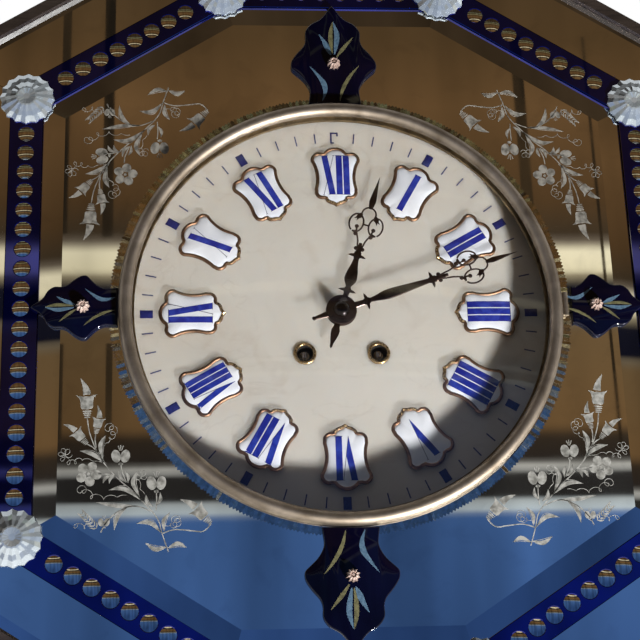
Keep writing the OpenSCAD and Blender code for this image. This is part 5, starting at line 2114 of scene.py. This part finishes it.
@dataclass
class Studio:
    """The camera, lamps, floor and the card that the mirrors reflect."""

    eye: tuple[float, float, float] = (-0.0985, -1.0936, -0.5447)
    look: tuple[float, float, float] = (0.0804, 0.9432, 0.3222)
    up: tuple[float, float, float] = (0.0050, -0.3237, 0.9462)
    lens: float = 87.19
    sensor: float = 36.0
    near: float = 0.01
    fill: float = 0.06
    dial_y: float = -0.104
    lamps: tuple[Lamp, ...] = (
        Lamp("key", (0.47, -0.39, -0.74), 2.3, 0.16, 54.0, True),
        Lamp("glow", (0.47, -0.39, -0.74), 2.3, 0.16, 86.0, True),
        Lamp("above", (-0.2, -0.35, 0.9), 2.2, 1.6, 5.0),
        Lamp("behind", (-0.4, 0.8, 0.45), 2.4, 1.4, 34.0),
    )
    floor_z: float = -2.6
    floor_r: float = 7.0
    floor_sides: int = 96
    card_y: float = -2.8
    card_low: float = -1.4
    card_high: float = 6.4
    card_wide: float = 13.0
    post_gap: float = 0.02
    bands: tuple[tuple[float, Colour], ...] = (
        (-0.6, (0.02, 0.05, 0.15)),
        (0.206, (0.035, 0.08, 0.2)),
        (0.217, (0.3, 0.34, 0.36)),
        (0.24, (0.26, 0.28, 0.28)),
        (0.251, (0.014, 0.013, 0.012)),
        (0.312, (0.014, 0.013, 0.012)),
        (0.319, (0.28, 0.275, 0.255)),
        (0.331, (0.24, 0.23, 0.205)),
        (0.34, (0.014, 0.011, 0.009)),
        (0.4, (0.02, 0.014, 0.009)),
        (0.43, (0.09, 0.05, 0.02)),
        (0.67, (0.085, 0.052, 0.023)),
        (0.7, (0.09, 0.07, 0.045)),
        (0.715, (0.004, 0.004, 0.008)),
        (0.795, (0.005, 0.005, 0.009)),
        (0.822, (0.16, 0.13, 0.08)),
        (0.838, (0.5, 0.44, 0.29)),
        (0.89, (0.54, 0.48, 0.33)),
        (0.915, (0.09, 0.07, 0.05)),
        (0.94, (0.03, 0.02, 0.011)),
        (1.03, (0.05, 0.027, 0.011)),
        (1.3, (0.09, 0.048, 0.019)),
        (1.5, (0.06, 0.034, 0.014)),
        (1.74, (0.05, 0.03, 0.014)),
        (1.76, (0.25, 0.23, 0.12)),
        (1.8, (0.23, 0.24, 0.13)),
        (1.82, (0.035, 0.022, 0.011)),
        (2.08, (0.04, 0.025, 0.012)),
        (2.1, (0.2, 0.23, 0.14)),
        (2.14, (0.18, 0.21, 0.14)),
        (2.16, (0.03, 0.019, 0.01)),
    )
    posts: tuple[Span, ...] = (
        (-0.428, 0.022, 0.93, 1.6),
        (-0.316, 0.027, 0.92, 1.6),
        (-0.429, 0.02, 0.4, 0.64),
        (-0.308, 0.016, 0.4, 0.64),
        (0.945, 0.008, 0.36, 1.5),
        (0.76, 0.03, 0.92, 1.5),
    )

    def build(self) -> None:
        """Sets the camera, the lamps, the world, the floor and the reflected card."""
        self.camera()
        dial = Placing.HUB + Vector((0.0, self.dial_y, 0.0))
        for lamp in self.lamps:
            lamp.hang(dial)
        self.world()
        self.floor()
        self.card()
        bpy.context.scene.view_settings.view_transform = "Standard"

    def camera(self) -> None:
        """Stands the camera where the photograph was taken from."""
        forward = Vector(self.look).normalized()
        right = forward.cross(Vector(self.up)).normalized()
        above = right.cross(forward)
        turn = Matrix((right, above, -forward)).transposed().to_4x4()
        Bench.clear()
        bpy.ops.object.camera_add()
        camera = bpy.context.object
        camera.matrix_world = Matrix.Translation(self.eye) @ turn
        camera.data.lens = self.lens
        camera.data.sensor_width = self.sensor
        camera.data.clip_start = self.near
        bpy.context.scene.camera = camera

    def soften(self, names: Sequence[str]) -> None:
        """Lets the glow pass raised fittings, because light inside the stone fills their thin shadows.

        Args:
            names: The fittings' pieces.
        """
        spared = bpy.data.collections.new("spared_from_shadow")
        for name in names:
            spared.objects.link(bpy.data.objects[name])
        for member in spared.collection_objects:
            member.light_linking.link_state = "EXCLUDE"
        bpy.data.objects["glow"].light_linking.blocker_collection = spared

    def shown(self, tree: bpy.types.NodeTree) -> Socket:
        """Tells the camera's, gloss's and glass's rays from the rest.

        Args:
            tree: The node tree to add to.

        Returns:
            One for those rays and zero for others.
        """
        path = tree.nodes.new("ShaderNodeLightPath")
        found = path.outputs["Is Camera Ray"]
        for kind in ("Is Transmission Ray", "Is Glossy Ray"):
            either = tree.nodes.new("ShaderNodeMath")
            either.operation = "MAXIMUM"
            tree.links.new(found, either.inputs[0])
            tree.links.new(path.outputs[kind], either.inputs[1])
            found = either.outputs[0]
        return found

    def world(self) -> None:
        """Gives a soft even light, and a white ground to the camera, to gloss and through glass."""
        world = bpy.data.worlds.new("studio")
        bpy.context.scene.world = world
        world.use_nodes = True
        tree = world.node_tree
        ground = tree.nodes["Background"]
        shown = self.shown(tree)
        level = tree.nodes.new("ShaderNodeMapRange")
        level.inputs["To Min"].default_value = self.fill
        level.inputs["To Max"].default_value = 1.0
        tree.links.new(shown, level.inputs["Value"])
        tree.links.new(level.outputs["Result"], ground.inputs["Strength"])
        ground.inputs["Color"].default_value = (1.0, 1.0, 1.0, 1.0)

    def floor(self) -> None:
        """Lays a plain pale floor far below the hanging clock."""
        Bench.clear()
        spot = (0.0, 0.0, self.floor_z)
        bpy.ops.mesh.primitive_circle_add(
            vertices=self.floor_sides, radius=self.floor_r, fill_type="NGON", location=spot
        )
        floor = bpy.context.object
        floor.name = "floor"
        recipe = Recipe("pale_floor")
        pale = recipe.ramp(recipe.noise(3.0), [(0.3, (0.66, 0.66, 0.66)), (0.7, (0.7, 0.7, 0.7))])
        recipe.feed("Emission Color", pale)
        recipe.feed("Emission Strength", self.shown(recipe.tree))
        recipe.fix(Base_Color=(0.3, 0.3, 0.3, 1.0), Roughness=0.8)
        floor.data.materials.append(recipe.material)

    def card(self) -> None:
        """Stands a banded card with posts behind the camera, which only the mirrors and metals see."""
        recipe = Recipe("card_bands")
        height = recipe.tree.nodes.new("ShaderNodeSeparateXYZ")
        recipe.tree.links.new(recipe.place, height.inputs["Vector"])
        share = recipe.tree.nodes.new("ShaderNodeMapRange")
        low, high = self.bands[0][0], self.bands[-1][0]
        share.inputs["From Min"].default_value = low
        share.inputs["From Max"].default_value = high
        recipe.tree.links.new(height.outputs["Z"], share.inputs["Value"])
        stops = [((z - low) / (high - low), colour) for z, colour in self.bands]
        recipe.feed("Emission Color", recipe.ramp(share.outputs["Result"], stops))
        streaks = recipe.noise(2.2, 3.0, recipe.mapped((1.6, 1.0, 0.25)))
        recipe.feed("Emission Strength", recipe.span(streaks, 0.7, 1.7))
        self.panel("reflected_card", recipe, (0.0, self.card_wide, self.card_low, self.card_high), 0.0)
        for post in self.posts:
            recipe = Recipe("post_dark")
            grain = recipe.noise(6.0, 3.0, recipe.mapped((3.0, 1.0, 0.4)))
            tones = [(0.3, (0.012, 0.009, 0.006)), (0.7, (0.04, 0.025, 0.012))]
            recipe.feed("Emission Color", recipe.ramp(grain, tones))
            recipe.fix(Emission_Strength=1.0)
            self.panel("reflected_post", recipe, post, self.post_gap)

    def panel(self, name: str, recipe: Recipe, span: Span, gap: float) -> None:
        """Stands an upright panel that glows by itself and takes no light.

        Args:
            name: Name of the panel.
            recipe: Its material, with the glow laid.
            span: Its place across, its width and the heights of its foot and head.
            gap: How far it stands before the card.
        """
        x, wide, low, high = span
        Bench.clear()
        spot = (x, self.card_y + gap, (low + high) / 2)
        bpy.ops.mesh.primitive_plane_add(size=1.0, location=spot, rotation=(math.pi / 2, 0.0, 0.0))
        panel = bpy.context.object
        panel.name = name
        bpy.ops.transform.resize(value=(wide, 1.0, high - low))
        bpy.ops.object.transform_apply(location=True, rotation=True, scale=True)
        recipe.fix(Base_Color=(0.0, 0.0, 0.0, 1.0), Roughness=1.0, Specular_IOR_Level=0.0)
        panel.data.materials.append(recipe.material)
        self.reflected(panel)

    def reflected(self, obj: Piece) -> None:
        """Shows a thing to mirrors and metals alone.

        Args:
            obj: The card or a post.
        """
        for sight in ("camera", "diffuse", "transmission", "shadow", "volume_scatter"):
            setattr(obj, f"visible_{sight}", False)


def main() -> None:
    """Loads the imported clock, dresses it piece by piece and sets up the studio."""
    logging.basicConfig(level=logging.INFO, format="%(message)s")
    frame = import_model()
    studio = Studio()
    studio.build()
    Carcass(frame["nodes"]).dress()
    dial = Placing.front("dial_plate")
    MinuteTrack().build(dial)
    HourPlaques().build(dial)
    Eyelets().build(dial)
    HourHand(
        "hour_pointer",
        "hour_hand",
        "hour_work",
        turn=17.2,
        length=104.0,
        collars=(15.6, 41.8),
        belly=8.4,
        scroll_foot=57.6,
        ring_at=65.6,
        spear_foot=78.9,
        tail=27.4,
        blade_half=2.4,
    ).build()
    MinuteHand(
        "minute_pointer",
        "minute_hand",
        "minute_work",
        turn=71.3,
        length=130.1,
        collars=(18.4, 66.2),
        belly=7.0,
        scroll_foot=86.0,
        ring_at=94.6,
        spear_foot=107.0,
        tail=21.0,
        blade_half=1.9,
    ).build()
    HandNut().build()
    face = Placing.front("mirror_panel")
    LensRows().build(face)
    CutRosettes().build(face)
    CutRing().build(face)
    LeafOrnaments().build(face)
    inner_buds = (Bud(-146.5, -100.8, 1.0), Bud(-123.6, -118.7, 1.05), Bud(-156.6, -143.6, 0.62))
    Sprays("lower_sprays", Palette.ENGRAVED, 1.0, inner_buds, Blossom(-166.8, -112.1, 1.12)).build(face)
    split_buds = (Bud(-161.5, -110.5, 0.98, 84.0), Bud(-122.1, -116.6, 1.05), Bud(-156.6, -143.6, 0.62))
    # The upper sprays wear the darker frost, whose colour paints the shade on them.
    Sprays("upper_sprays", Palette.ENGRAVED_PAINTED_SHADE, -1.0, split_buds, Blossom(-145.4, -96.6, 1.12)).build(face)
    hands = ("hour_pointer", "minute_pointer", "domed_nut")
    hours = ("cartouche_rims", "cartouche_gilding", "enamel_domes")
    studio.soften(hands + hours)


if __name__ == "__main__":
    main()
